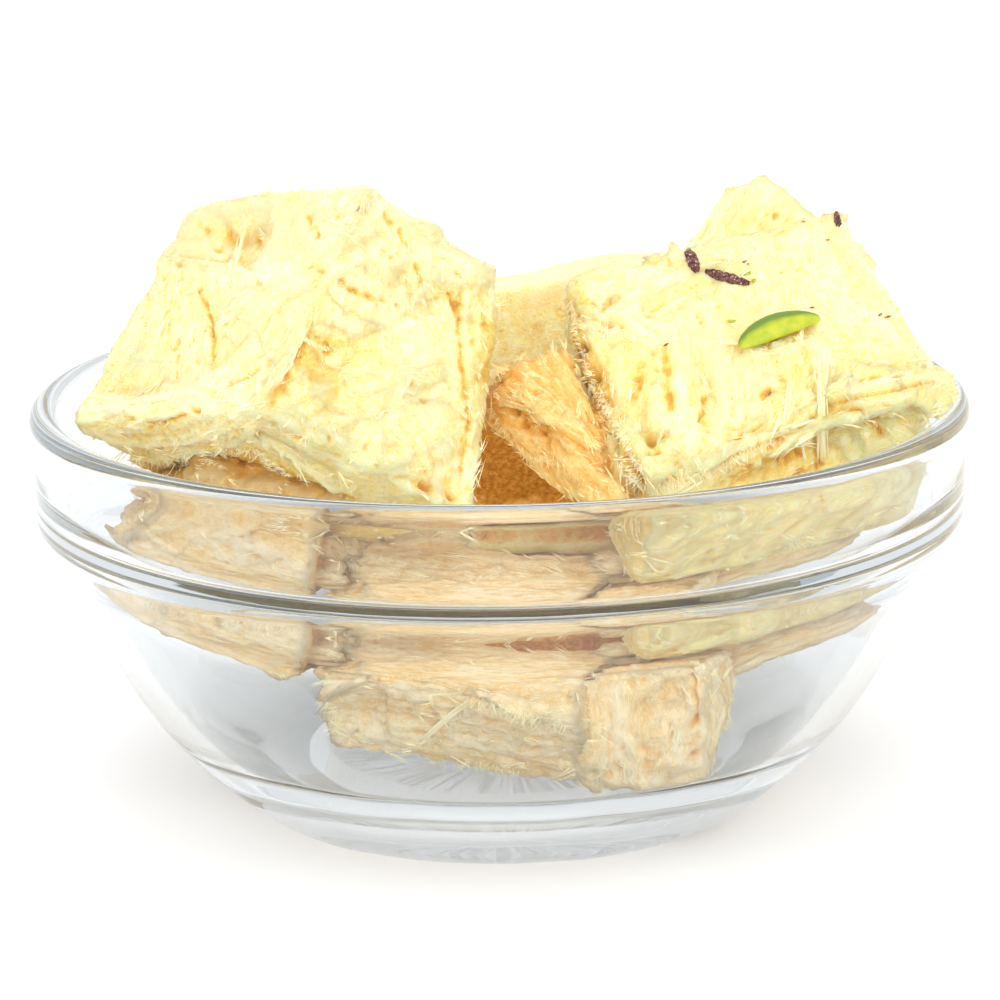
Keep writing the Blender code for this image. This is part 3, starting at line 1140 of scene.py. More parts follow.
@dataclass
class FlakyPiece:
    """One broken piece of soan papdi."""

    CRUST = CrustSizes()
    TUFT = 9  # threads in each tuft
    node: str
    turn: tuple[float, float, float]
    grain_axis: int
    seed: int
    voxel: float
    plates: int
    tufts: int
    strokes: tuple[Stroke, ...] = ()
    tones: Tones = field(default_factory=dict)
    lumps: tuple[tuple[float, ...], ...] = ()
    uneven: float = 0.24
    fibrous: float = 0.40
    ragged: float = 0.0
    drawn_out: float = 0.80
    cut_below: float = 0.0

    def __post_init__(self) -> None:
        """Work out the grain and start the random numbers."""
        self.grain = np.array(Euler([math.radians(a) for a in self.turn]).to_matrix())[:, self.grain_axis]
        self.rng = np.random.default_rng(self.seed)

    def with_plates(self, solid: Mesh) -> Mesh:
        """Lay flakes into the skin, as shingles along the grain.

        Args:
            solid: the plain piece.

        Returns:
            The piece and its flakes in one mesh.
        """
        soup = Soup()
        soup.add(points_of(solid), faces_of(solid))
        for x, y, z, wide, deep, high in self.lumps:
            self.add_lump(soup, np.array([x, y, z]) * MM, np.array([wide, deep, high]) * MM)
        places, normals, _ = Scatter(solid, self.rng).pick(self.plates)
        lift = self.rng.uniform(-0.06, 0.20, self.plates)
        axes = frames_on(normals, np.tile(self.grain, (self.plates, 1)), 0.5, lift, self.rng)
        sizes = np.stack([self.rng.uniform(3.0, 9.0, self.plates), self.rng.uniform(1.2, 3.4, self.plates),
                          self.rng.uniform(0.8, 1.2, self.plates)], 1) * MM
        places = places - normals * self.rng.uniform(0.20, 0.55, (self.plates, 1)) * MM
        ChipShape(9, 0.34).add(soup, places, axes, sizes, self.rng)
        return soup.mesh(self.node + "_plates")

    def add_lump(self, soup: Soup, middle: Rows, reach: Rows) -> None:
        """Add a rounded lump that melts into the piece.

        Args:
            soup: where it goes.
            middle: its middle.
            reach: how far it reaches along x, y and z.
        """
        work = bmesh.new()
        bmesh.ops.create_icosphere(work, subdivisions=3, radius=1.0)
        points = np.array([tuple(vert.co) for vert in work.verts])
        faces = [[vert.index for vert in face.verts] for face in work.faces]
        work.free()
        swell = 1.0 + 0.22 * NoiseField(self.seed + 5).fractal(points * 1.7 + middle / MM, 2)
        soup.add(points * swell[:, None] * reach + middle, faces)

    def relief(self, points: Rows, normals: Rows, tree: BVHTree) -> Relief:
        """Gather what the strokes do over the skin.

        Args:
            points: the skin's points.
            normals: the directions in which it faces.
            tree: the skin's faces.

        Returns:
            Heights in metres, painted shade and tan, how fibrous the skin is and which way its fibres run.
        """
        zero = np.zeros(len(points))
        made = Relief(zero.copy(), zero.copy(), zero.copy(), zero.copy(), normals)
        wander = NoiseField(self.seed + 70).at(points, 1.1, 3, 0.7)
        gaps = NoiseField(self.seed + 71).plain(points / (1.6 * MM))
        broken = 0.35 + 0.65 * smooth_step(-0.35, 0.25, gaps)
        lean = np.outer(self.grain, self.grain) * 0.02
        spread = np.repeat(lean[None], len(points), 0)
        for stroke in self.strokes:
            if stroke.mark in (Mark.FRINGE, Mark.STRAND):
                continue
            nearest, side, way = stroke.nearness(points, tree)
            width = stroke.width * MM
            away = nearest * (1.0 + 0.9 * wander)
            bell = np.exp(-(away / width) ** 2)
            if stroke.mark is Mark.CRACK:
                made.height -= 0.8 * stroke.height * MM * bell * broken
                # painted shade in the crack
                made.gold += min(1.0, stroke.height) * np.exp(-(away / (width * 1.3)) ** 2) * broken
            elif stroke.mark is Mark.RIDGE:
                made.height += stroke.height * MM * bell
                # painted highlight on the ridge
                made.gold -= 0.25 * bell
            elif stroke.mark is Mark.FLAP:
                over = smooth_step(-0.12 * MM, 0.18 * MM, side * away)
                lifted = over * np.exp(-away / (width * 3.0)) - 0.35 * (1 - over) * bell
                made.height += stroke.height * MM * lifted
                # painted shadow under the flap's edge
                made.gold += 0.7 * (1.0 - over) * bell * broken
            elif stroke.mark is Mark.TAN:
                made.tan += stroke.height * bell
            elif stroke.mark is Mark.GOLD:
                # painted shade; a negative height lightens it as painted light
                made.gold += stroke.height * bell
            if stroke.mark not in (Mark.TAN, Mark.GOLD) and len(stroke.spots) > 2:
                reach = 2.2 if stroke.mark is Mark.FLOW else 1.0
                weight = 1.0 / (1.0 + (nearest / (reach * MM)) ** 2) ** 2
                spread += weight[:, None, None] * way[:, :, None] * way[:, None, :]
                if stroke.mark is Mark.FLOW:
                    made.fibre = np.maximum(made.fibre, np.exp(-(nearest / width) ** 2))
        flow = np.linalg.eigh(spread)[1][:, :, 2]
        flow = flow - normals * np.sum(flow * normals, 1)[:, None]
        made.flow = unit(flow)
        return made

    def combed(self, noise: NoiseField, points: Rows, flow: Rows, cell: float,
               reach: float) -> Rows:
        """Noise that is drawn out along the fibres.

        Args:
            noise: the noise.
            points: the skin's points.
            flow: which way the fibres run.
            cell: the noise's size, in millimetres.
            reach: how far it is drawn out to each side, in millimetres.

        Returns:
            Values from about -1 to 1.
        """
        total = np.zeros(len(points))
        for k in range(-5, 6):
            total += noise.plain((points + flow * (k / 5.0 * reach * MM)) / (cell * MM))
        return total / 11.0 * 3.0

    def height(self, points: Rows, relief: Relief) -> Rows:
        """Work out how far the flaky crust stands out.

        Args:
            points: the skin's points.
            relief: what the strokes do there.

        Returns:
            Heights, in metres.
        """
        size = self.CRUST
        noise, other = NoiseField(self.seed), NoiseField(self.seed + 31)
        fibrous = np.clip(self.fibrous + relief.fibre + 0.5 * noise.at(points, 9.0), 0.0, 1.0)
        layers = self.combed(noise, points, relief.flow, size.layer_cell, size.layer_reach) * 2.3
        layers = layers + 0.6 * noise.at(points, 3.0)
        steps = np.floor(layers) + smooth_step(0.38, 0.62, layers - np.floor(layers))
        fine = self.combed(other, points, relief.flow, size.fibre_cell, size.fibre_reach)
        crumb = noise.at(points, size.crumb_cell, gain=0.7, shift=40.0) * size.crumb_height
        lumps = other.at(points, size.lump_cell, shift=9.0) * self.uneven
        lumps += noise.at(points, size.tear_cell, 3, 0.7, 21.0) * self.ragged
        pits = smooth_step(0.36, 0.08, other.nearest(points / (size.pit_cell * MM) + 3.0))
        pits *= smooth_step(0.0, 0.4, noise.at(points, size.patch_cell, shift=5.0)) * size.pit_depth
        made = (steps * size.layer_height + fine * size.fibre_height) * fibrous
        made += crumb * (1.15 - fibrous) + lumps - pits
        made *= 1.0 - 0.6 * np.clip(relief.tan, 0.0, 1.0)
        return np.clip(made, size.lowest, size.highest) * MM + relief.height

    def crust(self, mesh: Mesh, shelter: Shelter) -> None:
        """Work the flaky crust into the skin and keep what the material reads, with painted shade among it.

        Args:
            mesh: the skin.
            shelter: how far places are closed in.
        """
        edges = read(mesh.edges, "vertices", 2, np.int32)
        start = points_of(mesh)
        points = start * 0.5 + evened(start, edges, 1) * 0.5
        normals = unit(evened(normals_of(mesh), edges, 2))
        relief = self.relief(points, normals, tree_of(mesh))
        moved = self.bowl.keep_clear(points + normals * self.height(points, relief)[:, None])
        set_points(mesh, moved)
        facing = normals_of(mesh)
        near, far = (np.sum((evened(moved, edges, rounds) - moved) * facing, 1) / MM for rounds in (4, 24))
        hollow = near / 0.16 * 0.45 + far / 0.55 * 0.55
        closed = shelter.closed(moved, normals, self.rng)
        # painted shade: deeper in hollows, where other pieces close the skin in, and on faces turned down
        depth = 0.06 + np.clip(hollow, -0.5, 1.2) * 0.34 + smooth_step(0.05, 0.55, closed) * 0.36
        depth += smooth_step(0.30, 0.80, -normals[:, 2]) * 0.22
        local = moved - moved.mean(0)
        along = np.sum(local * relief.flow, 1)[:, None] * relief.flow
        # the strokes' painted shade and painted light are added here
        store(mesh, "depth", np.clip(depth + relief.gold * 0.55, 0.0, 1.0))
        store(mesh, "tan", np.clip(relief.tan + 0.3 * smooth_step(0.1, 0.5, -hollow), 0.0, 1.0))
        store(mesh, "combed", local - along * self.drawn_out)
        self.flow = relief.flow
        self.liking = 0.25 + np.clip(-hollow, 0.0, 1.0)

    def build(self, bowl: GlassBowl, shelter: Shelter) -> Piece:
        """Build the piece.

        Args:
            bowl: the bowl that it and its threads stay clear of.
            shelter: how far places are closed in.

        Returns:
            The piece's object.
        """
        self.bowl = bowl
        plated = self.with_plates(welded(self.node, self.cut_below))
        mesh = modified(plated, "REMESH", mode="VOXEL", voxel_size=self.voxel * MM)
        mesh.name = self.node + "_flaky"
        self.crust(mesh, shelter)
        self.body = add_object(self.node + "_flaky", mesh)
        dress(self.body, FlossFinish(self.node + "_floss", **self.tones).build())
        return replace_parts(self.body, self.node)

    def add_threads(self, soup: Soup) -> None:
        """Add the tufts, then the bundles and fringes that the picture shows one by one.

        Args:
            soup: where they go.
        """
        self.tufted(soup)
        tree = tree_of(self.body.data)
        for stroke in self.strokes:
            if stroke.mark is Mark.STRAND:
                self.bundle(soup, stroke, *stroke.line(tree))
            elif stroke.mark is Mark.FRINGE:
                self.fringe(soup, stroke, *stroke.line(tree))

    def tufted(self, soup: Soup) -> None:
        """Add tufts of fine threads, most on the proud places.

        Args:
            soup: where they go.
        """
        each = self.TUFT
        centres, normals, index = Scatter(self.body.data, self.rng).pick(self.tufts, self.liking)
        count = self.tufts * each
        size = np.repeat(self.rng.gamma(2.5, 0.45, self.tufts) + 0.5, each)
        turn = self.rng.choice([-1.0, 1.0], (self.tufts, 1))
        lift = np.abs(self.rng.normal(0.0, 0.16, self.tufts))
        axes = frames_on(normals, self.flow[index] * turn, 0.5, lift, self.rng).repeat(each, 0)
        centres, normals = centres.repeat(each, 0), normals.repeat(each, 0)
        fan = self.rng.normal(0.0, 0.17, (count, 1))
        rise = np.abs(self.rng.normal(0.0, 0.10, (count, 1)))
        way = unit(axes[:, 0] + axes[:, 1] * fan + axes[:, 2] * rise)[:, None]
        side = np.cross(axes[:, 2], way[:, 0])[:, None]
        length = (size * self.rng.uniform(0.5, 1.25, count))[:, None, None] * MM
        shift = self.rng.normal(0.0, 0.35, (count, 2, 1)) * size[:, None, None]
        shift = shift * np.array([[[0.7], [0.35]]]) * MM
        root = centres + axes[:, 0] * shift[:, 0] + axes[:, 1] * shift[:, 1] - normals * 0.10 * MM
        t = np.linspace(0.0, 1.0, 3)[None, :, None]
        bend = self.rng.normal(0.0, 0.22, self.tufts).repeat(each) + self.rng.normal(0.0, 0.1, count)
        paths = root[:, None] + way * (t - 0.15) * length
        paths = paths + side * bend[:, None, None] * length * t * (1.6 - t)
        width = self.rng.uniform(0.028, 0.062, (count, 1)) * MM * np.array([[0.9, 1.0, 0.3]])
        ThreadShape(3).add(soup, self.bowl.keep_clear(paths), width)

    def bundle(self, soup: Soup, stroke: Stroke, line: Rows, facing: Rows) -> None:
        """Add one bundle of threads along a stroke.

        Args:
            soup: where it goes.
            stroke: its thickness and its height over the skin.
            line: its line on the skin.
            facing: the directions in which the skin faces there.
        """
        line = line + facing * stroke.height * MM
        for _ in range(3):
            line[1:-1] = (line[:-2] + line[1:-1] * 2.0 + line[2:]) / 4.0
        way = unit(np.gradient(line, axis=0))
        up = unit(facing.mean(0)[None])
        across = unit(np.cross(way, up))
        count = max(3, int(26.0 * stroke.width ** 1.5))
        angle = self.rng.uniform(0.0, math.tau, (count, 1, 1))
        spread = np.sqrt(self.rng.random((count, 1, 1))) * stroke.width * 0.5 * MM
        t = np.linspace(0.0, 1.0, len(line))[None, :, None]
        wave = 1.0 + 0.3 * np.sin(t * self.rng.uniform(3.0, 9.0, (count, 1, 1)) + angle)
        flare = (1.0 + 1.6 * np.abs(t - 0.5) ** 2) * wave
        paths = line[None] + (across[None] * np.cos(angle) + up[None] * np.sin(angle)) * spread * flare
        taper = 1.0 - 0.75 * np.abs(2.0 * t[:, :, 0] - 1.0) ** 4
        width = self.rng.uniform(0.05, 0.10, (count, 1)) * MM * taper
        ThreadShape(len(line)).add(soup, self.bowl.keep_clear(paths), width)

    def fringe(self, soup: Soup, stroke: Stroke, line: Rows, facing: Rows) -> None:
        """Add threads that stand out to the right of a stroke.

        Args:
            soup: where they go.
            stroke: the threads' length and how far they stand up.
            line: its line on the skin.
            facing: the directions in which the skin faces there.
        """
        step = np.linalg.norm(np.diff(line, axis=0), axis=1)
        step = np.where(step > 4.0 * MM, 0.0, step) + 0.001 * MM
        total = step.sum()
        count = max(4, int(total / MM * 13.0))
        chosen = self.rng.choice(len(step), count, p=step / total)
        part = self.rng.random((count, 1))
        root = line[chosen] * (1.0 - part) + line[chosen + 1] * part
        up = facing[chosen]
        out = unit(np.cross(line[chosen + 1] - line[chosen], up))
        side = np.cross(up, out)
        sway = np.sin(root @ np.array([[2100.0], [1700.0], [900.0]])) * 0.5
        out, _ = turned(out, side, self.rng.normal(0.0, 0.30, (count, 1)) + sway)
        out = out + up * (stroke.height + self.rng.normal(0, 0.2, (count, 1)))
        length = (stroke.width * self.rng.uniform(0.35, 1.25, count) * MM)[:, None, None]
        t = np.linspace(0.0, 1.0, 4)[None, :, None]
        bend = self.rng.normal(0.0, 0.32, (count, 1, 1)) * length
        root = root + self.rng.normal(0.0, 0.15, (count, 3)) * MM
        paths = root[:, None, :] + unit(out)[:, None, :] * (t - 0.25) * length
        paths = paths + side[:, None, :] * bend * t * t - np.array([0.0, 0.0, 0.12]) * length * t * t
        width = self.rng.uniform(0.022, 0.058, (count, 1)) * MM * np.array([[0.9, 1.0, 0.75, 0.25]])
        ThreadShape(4).add(soup, self.bowl.keep_clear(paths), width)


def strokes(table: str) -> tuple[Stroke, ...]:
    """Read strokes from a table.

    Args:
        table: a line for each stroke, with its mark, width, height and the x and y of its places.

    Returns:
        The strokes.
    """
    made = []
    for row in table.strip().splitlines():
        mark, *numbers = row.split()
        width, height, *spots = map(float, numbers)
        made.append(Stroke(Mark(mark), width, height, tuple(spots)))
    return tuple(made)


# In the stroke tables, a golden row paints shade into the colour where its height is above zero, and painted
# light where it is below; crack and flap rows also paint shade, and ridge rows paint a highlight.
LEFT_TOP = strokes("""
flow 3.5 0 300 330 275 365 226 390 153 398 93 413
flow 3 0 250 418 205 437 150 443 105 440
flow 3 0 182 270 172 320 150 385
flow 2.5 0 250 300 222 335 195 375
flow 2 0 245 215 240 250 232 285
flap 0.55 0.7 212 360 212 328 206 308 199 290
gold 1.1 0.3 205 303 214 322 215 352
ridge 0.45 0.55 217 328 234 315
crack 0.35 0.45 168 310 172 360
crack 0.4 0.5 178 341 176 376
ridge 0.45 0.4 276 352 240 378 200 388
crack 0.45 0.45 270 362 230 388 180 398 130 404
crack 0.5 0.9 126 420 133 422
crack 0.5 1 150 427 163 425 178 418 198 411
crack 0.4 0.5 105 420 118 415
ridge 1.2 0.8 112 438 146 440 185 436 225 426
flap 0.7 1 96 452 146 457 205 450 239 441 254 431
ridge 0.55 0.8 248 413 275 381 291 356 301 330
crack 0.9 0.55 262 411 283 385 300 352
gold 1.6 0.55 270 400 285 380 305 360
crack 0.6 0.7 299 352 303 344
crack 0.8 0.6 312 332 320 340 332 348
gold 2.2 0.3 310 345 330 375
ridge 0.6 0.6 254 431 280 447 310 468 343 497
tan 2.6 0.9 190 215 190 245
tan 2.2 0.8 228 215 228 240
tan 2.4 0.9 272 218 285 240
tan 1.8 0.7 258 235 262 258
tan 3.4 0.8 188 228 240 224 296 222
tan 2.6 0.7 232 292 248 318 240 340
tan 2.6 0.6 138 352 158 372 180 386
tan 2 0.8 105 438 160 446 225 438
gold 3.4 0.16 190 232 240 226 290 224
gold 2.2 0.3 214 296 232 330 236 345
ridge 0.5 0.6 247 222 240 248 234 274
ridge 0.4 0.4 205 242 222 262 245 272 262 280
crack 0.45 0.6 200 226 207 231
crack 0.45 0.7 212 247 218 252
crack 0.4 0.5 219 260 229 262
crack 0.8 0.7 224 232 233 240
crack 0.5 0.6 257 240 262 248
flap 0.45 0.8 250 272 235 268 205 262 180 258
crack 0.45 0.7 307 216 311 226 318 236
crack 0.6 0.5 317 214 335 218
crack 0.45 0.6 311 266 323 271
crack 0.4 0.6 254 280 261 283
crack 0.42 1.5 343 283 349 289 361 293 368 297 377 300
crack 0.35 0.7 381 300 386 302
crack 0.3 0.6 397 305
crack 0.6 0.8 388 216 394 224
crack 0.55 0.6 400 233 408 243
crack 0.4 0.5 384 251 393 257
crack 0.45 0.8 417 267 423 283
crack 0.5 0.6 406 284 412 296
crack 0.35 0.6 447 270 461 275
crack 0.45 1 449 296 454 306
flap 0.8 0.65 462 300 460 330 464 370 470 420 462 470
ridge 0.6 0.6 474 312 476 345
gold 2.4 0.9 490 330 489 380 486 430 488 480
gold 2.2 0.45 474 295 476 380 474 440 478 490
gold 2.6 0.95 125 468 180 472 245 462 285 474
gold 2.6 1.1 225 450 262 458 300 485 318 497
gold 3 0.5 484 400 481 440 478 490
gold 3.5 0.35 318 352 345 390 330 420
crack 0.6 1.1 418 482 426 488
crack 0.6 1.1 448 483 450 496
crack 0.35 0.5 366 448 368 440
flow 1.6 0 420 450 430 480 440 500
fringe 1.6 0.25 74 440 100 456 146 460 205 454 240 447 262 452 290 476
fringe 1.9 0.35 74 418 62 426 66 436 80 446 98 452
fringe 1.2 0.3 180 210 176 240 168 275 155 318 132 352 116 384 96 404 74 418
fringe 1.2 0.3 492 268 468 250 432 240 400 208 377 188 340 192 306 204
fringe 0.9 0.9 304 338 318 346 340 350
fringe 0.9 0.9 404 280 414 276 430 284
fringe 0.9 0.9 448 288 460 280
strand 0.35 0.25 246 226 240 248 234 276
strand 0.22 0.2 217 330 226 322 236 314
strand 0.18 0.2 232 428 222 421 214 428 200 436
strand 0.2 0.25 63 430 70 438 72 452
strand 0.16 0.25 236 402 224 407 215 396 205 399
""")
RIGHT_TOP = strokes("""
flow 3 0 668 350 655 385 640 420
flow 3 0 690 350 692 400 690 450
flow 3 0 722 345 732 400 725 455
flow 2.5 0 600 300 640 330 660 345
flow 3 0 840 395 880 385 928 378
flow 3 0 855 405 887 420 920 428
flow 2.5 0 830 300 870 330 905 350
flow 2.5 0 790 350 790 390 785 435
crack 0.35 1.4 705 397 703 410 700 421
crack 0.7 0.6 644 364 640 380 636 395
crack 0.5 0.6 657 371 651 392
crack 0.35 0.6 719 453 719 461
crack 0.3 0.9 736 440 748 432 760 424
crack 0.5 0.6 593 301 602 308 612 300
crack 0.55 0.5 595 320 606 324
crack 0.45 0.5 618 321 623 327
crack 0.4 0.5 652 311 662 305
crack 0.4 0.4 680 294 701 283
crack 0.45 0.8 762 397 771 389
crack 0.3 0.7 771 382 786 380
crack 0.4 1.2 862 381 873 377
crack 0.5 1.1 829 410 845 409 861 409
crack 0.55 1.3 789 424 800 415 813 413
crack 0.6 1.2 757 452 772 446 786 437
crack 0.7 1 869 421 877 430 884 439
gold 2.4 0.35 722 474 760 462 800 448
gold 3 0.7 745 482 785 468 822 455
gold 5 -0.3 838 442 868 432 915 414
crack 0.6 1.2 765 462 780 458 800 452
crack 0.6 1 790 478 806 470 822 462
ridge 1 0.9 640 345 650 380 658 430
ridge 1 0.8 676 345 684 400 690 450
ridge 1 0.7 716 350 722 400 722 448
crack 0.6 0.9 667 352 669 380 672 410
ridge 1.4 1 812 352 824 368 830 392
ridge 1.3 0.8 752 352 770 356 790 350
crack 0.5 0.9 760 392 768 388
gold 1.6 0.6 640 372 650 390 654 402
gold 2 0.35 724 316 734 328
ridge 1.2 0.9 622 432 640 452 652 470
crack 0.6 1 650 438 656 452
crack 0.5 0.8 672 462 680 470
crack 0.5 0.9 662 436 648 440
crack 0.55 1 627 456 632 462
crack 0.55 1 634 470 640 478
flap 0.5 0.9 700 470 740 452 790 432 830 402 872 392 925 382
ridge 0.8 0.7 818 350 826 370 822 390
ridge 0.6 0.5 756 338 768 343 782 348
tan 3 1 736 322 720 345 724 380
gold 2.2 1.1 572 310 580 350 594 385 606 410 620 445 634 480
tan 8 0.8 660 545 760 535 850 515
gold 8 0.2 660 545 760 535 850 515
fringe 1.8 0.2 566 296 575 350 586 374 601 404 616 422
fringe 1.3 0.5 572 300 580 345 592 374 607 404 622 430 640 470
fringe 1.8 0.2 614 436 622 456 640 484 655 492
fringe 1.7 0.2 655 490 700 474 745 452 790 434
fringe 1.4 0.6 956 424 954 400 946 378 928 372
fringe 1 0.3 930 368 912 336 888 296 872 262 852 224
fringe 1.3 1.2 752 346 764 338 782 342
fringe 1.2 0.8 760 350 784 352
strand 1.3 0.5 822 352 825 372 820 392 821 425 822 460
strand 0.6 0.4 791 381 788 409 784 436
strand 0.4 0.3 801 442 805 462
strand 0.55 0.3 811 432 795 444 778 457
strand 0.4 0.3 790 427 803 424 814 421
strand 0.35 0.15 700 371 706 383 709 395
strand 0.3 0.25 706 345 728 344 745 345
""")
CENTRE = strokes("""
flow 3 0 540 360 570 400 600 450
flow 3 0 510 400 540 420 580 430
crack 0.7 1.3 518 424 532 428 548 438
crack 0.45 0.9 527 391 536 393
crack 0.5 0.7 516 412 519 416
gold 2 0.5 575 365 592 395 604 425
flap 0.6 0.9 505 405 530 408 550 424 585 446
fringe 1.3 0.2 484 396 496 418 512 441 530 456 555 463 579 476 600 492
fringe 1.3 0.3 548 350 530 352 516 360 500 376 488 392
strand 0.4 0.4 550 348 562 356 576 366
strand 0.22 0.6 516 361 502 374 489 391
strand 0.2 0.35 555 402 568 415
strand 0.25 0.3 590 410 600 420
""")
FRONT_BOTTOM = strokes("""
flow 4 0 320 560 400 580 520 590
flow 4 0 345 700 420 715 520 740
gold 8 -0.6 340 560 450 562 580 565
flap 0.8 1.2 302 630 341 652 432 664 475 694 508 705 562 722
crack 0.4 0.8 367 663 380 666 393 667
crack 0.45 0.8 519 694 527 696
crack 0.4 0.5 527 655 535 657
ridge 0.8 0.6 300 545 330 535 400 560
fringe 1.8 0.25 432 664 450 680 475 695 508 706 536 716 566 722
fringe 1.5 0.2 302 632 341 654 390 660 432 664
fringe 2.2 0.1 341 655 322 680 330 700 340 718 330 740 338 753
fringe 2 0.1 338 753 410 757 475 760 520 768
strand 0.45 0.45 427 678 431 690 434 703
strand 0.35 0.45 432 690 448 691 464 690
strand 0.4 0.45 460 684 466 694 474 708
strand 0.5 0.5 470 698 456 708 445 714 432 728 419 741
""")
LEFT_BOTTOM = strokes("""
flow 3 0 110 500 180 560 260 600
gold 6 0.9 170 470 240 468 320 492
fringe 1.6 0.2 130 596 192 646 240 678 268 675 304 662
crack 0.7 0.8 290 651 310 648 330 655
""")
RIGHT_BOTTOM = strokes("""
flow 3 0 640 620 650 700 655 770
crack 0.9 1.2 690 655 694 700 692 750
fringe 1.6 0.2 728 760 736 720 734 680
fringe 1.6 0.1 600 786 640 790 690 782 728 765
""")
BACK_MIDDLE = strokes("""
tan 3 0.9 515 270 560 262 640 250
gold 6 0.7 500 415 600 400
gold 6 2.3 500 464 550 460 610 474
gold 3.5 -1.1 470 536 540 534 625 532
""")


def shaded_low_tones(share: float = 1.0) -> Tones:
    """Make the darker, warmer colours of a piece low in the heap that is seen through the glass: painted
    shade.

    Args:
        share: how light it is.

    Returns:
        The colours, without scatter of light.
    """
    tones = dict(light=(1.0, 0.885, 0.62), pale=(0.98, 0.81, 0.48), body=(0.95, 0.70, 0.31),
                 tan=(0.93, 0.70, 0.38), gold=(0.88, 0.54, 0.17))
    made: Tones = {key: tuple(min(1.0, part * share) for part in tone) for key, tone in tones.items()}
    return made | {"scatter": 0.0}


PALE_THREADS = dict(pale=(1.0, 0.95, 0.66), body=(0.99, 0.90, 0.52), gold=(0.98, 0.82, 0.36))
# darker golden thread colours for the shaded middle pieces: painted shade
SHADED_GOLDEN_THREADS = dict(light=(0.99, 0.90, 0.56), pale=(0.98, 0.84, 0.44), body=(0.96, 0.74, 0.30),
                      gold=(0.93, 0.62, 0.18))


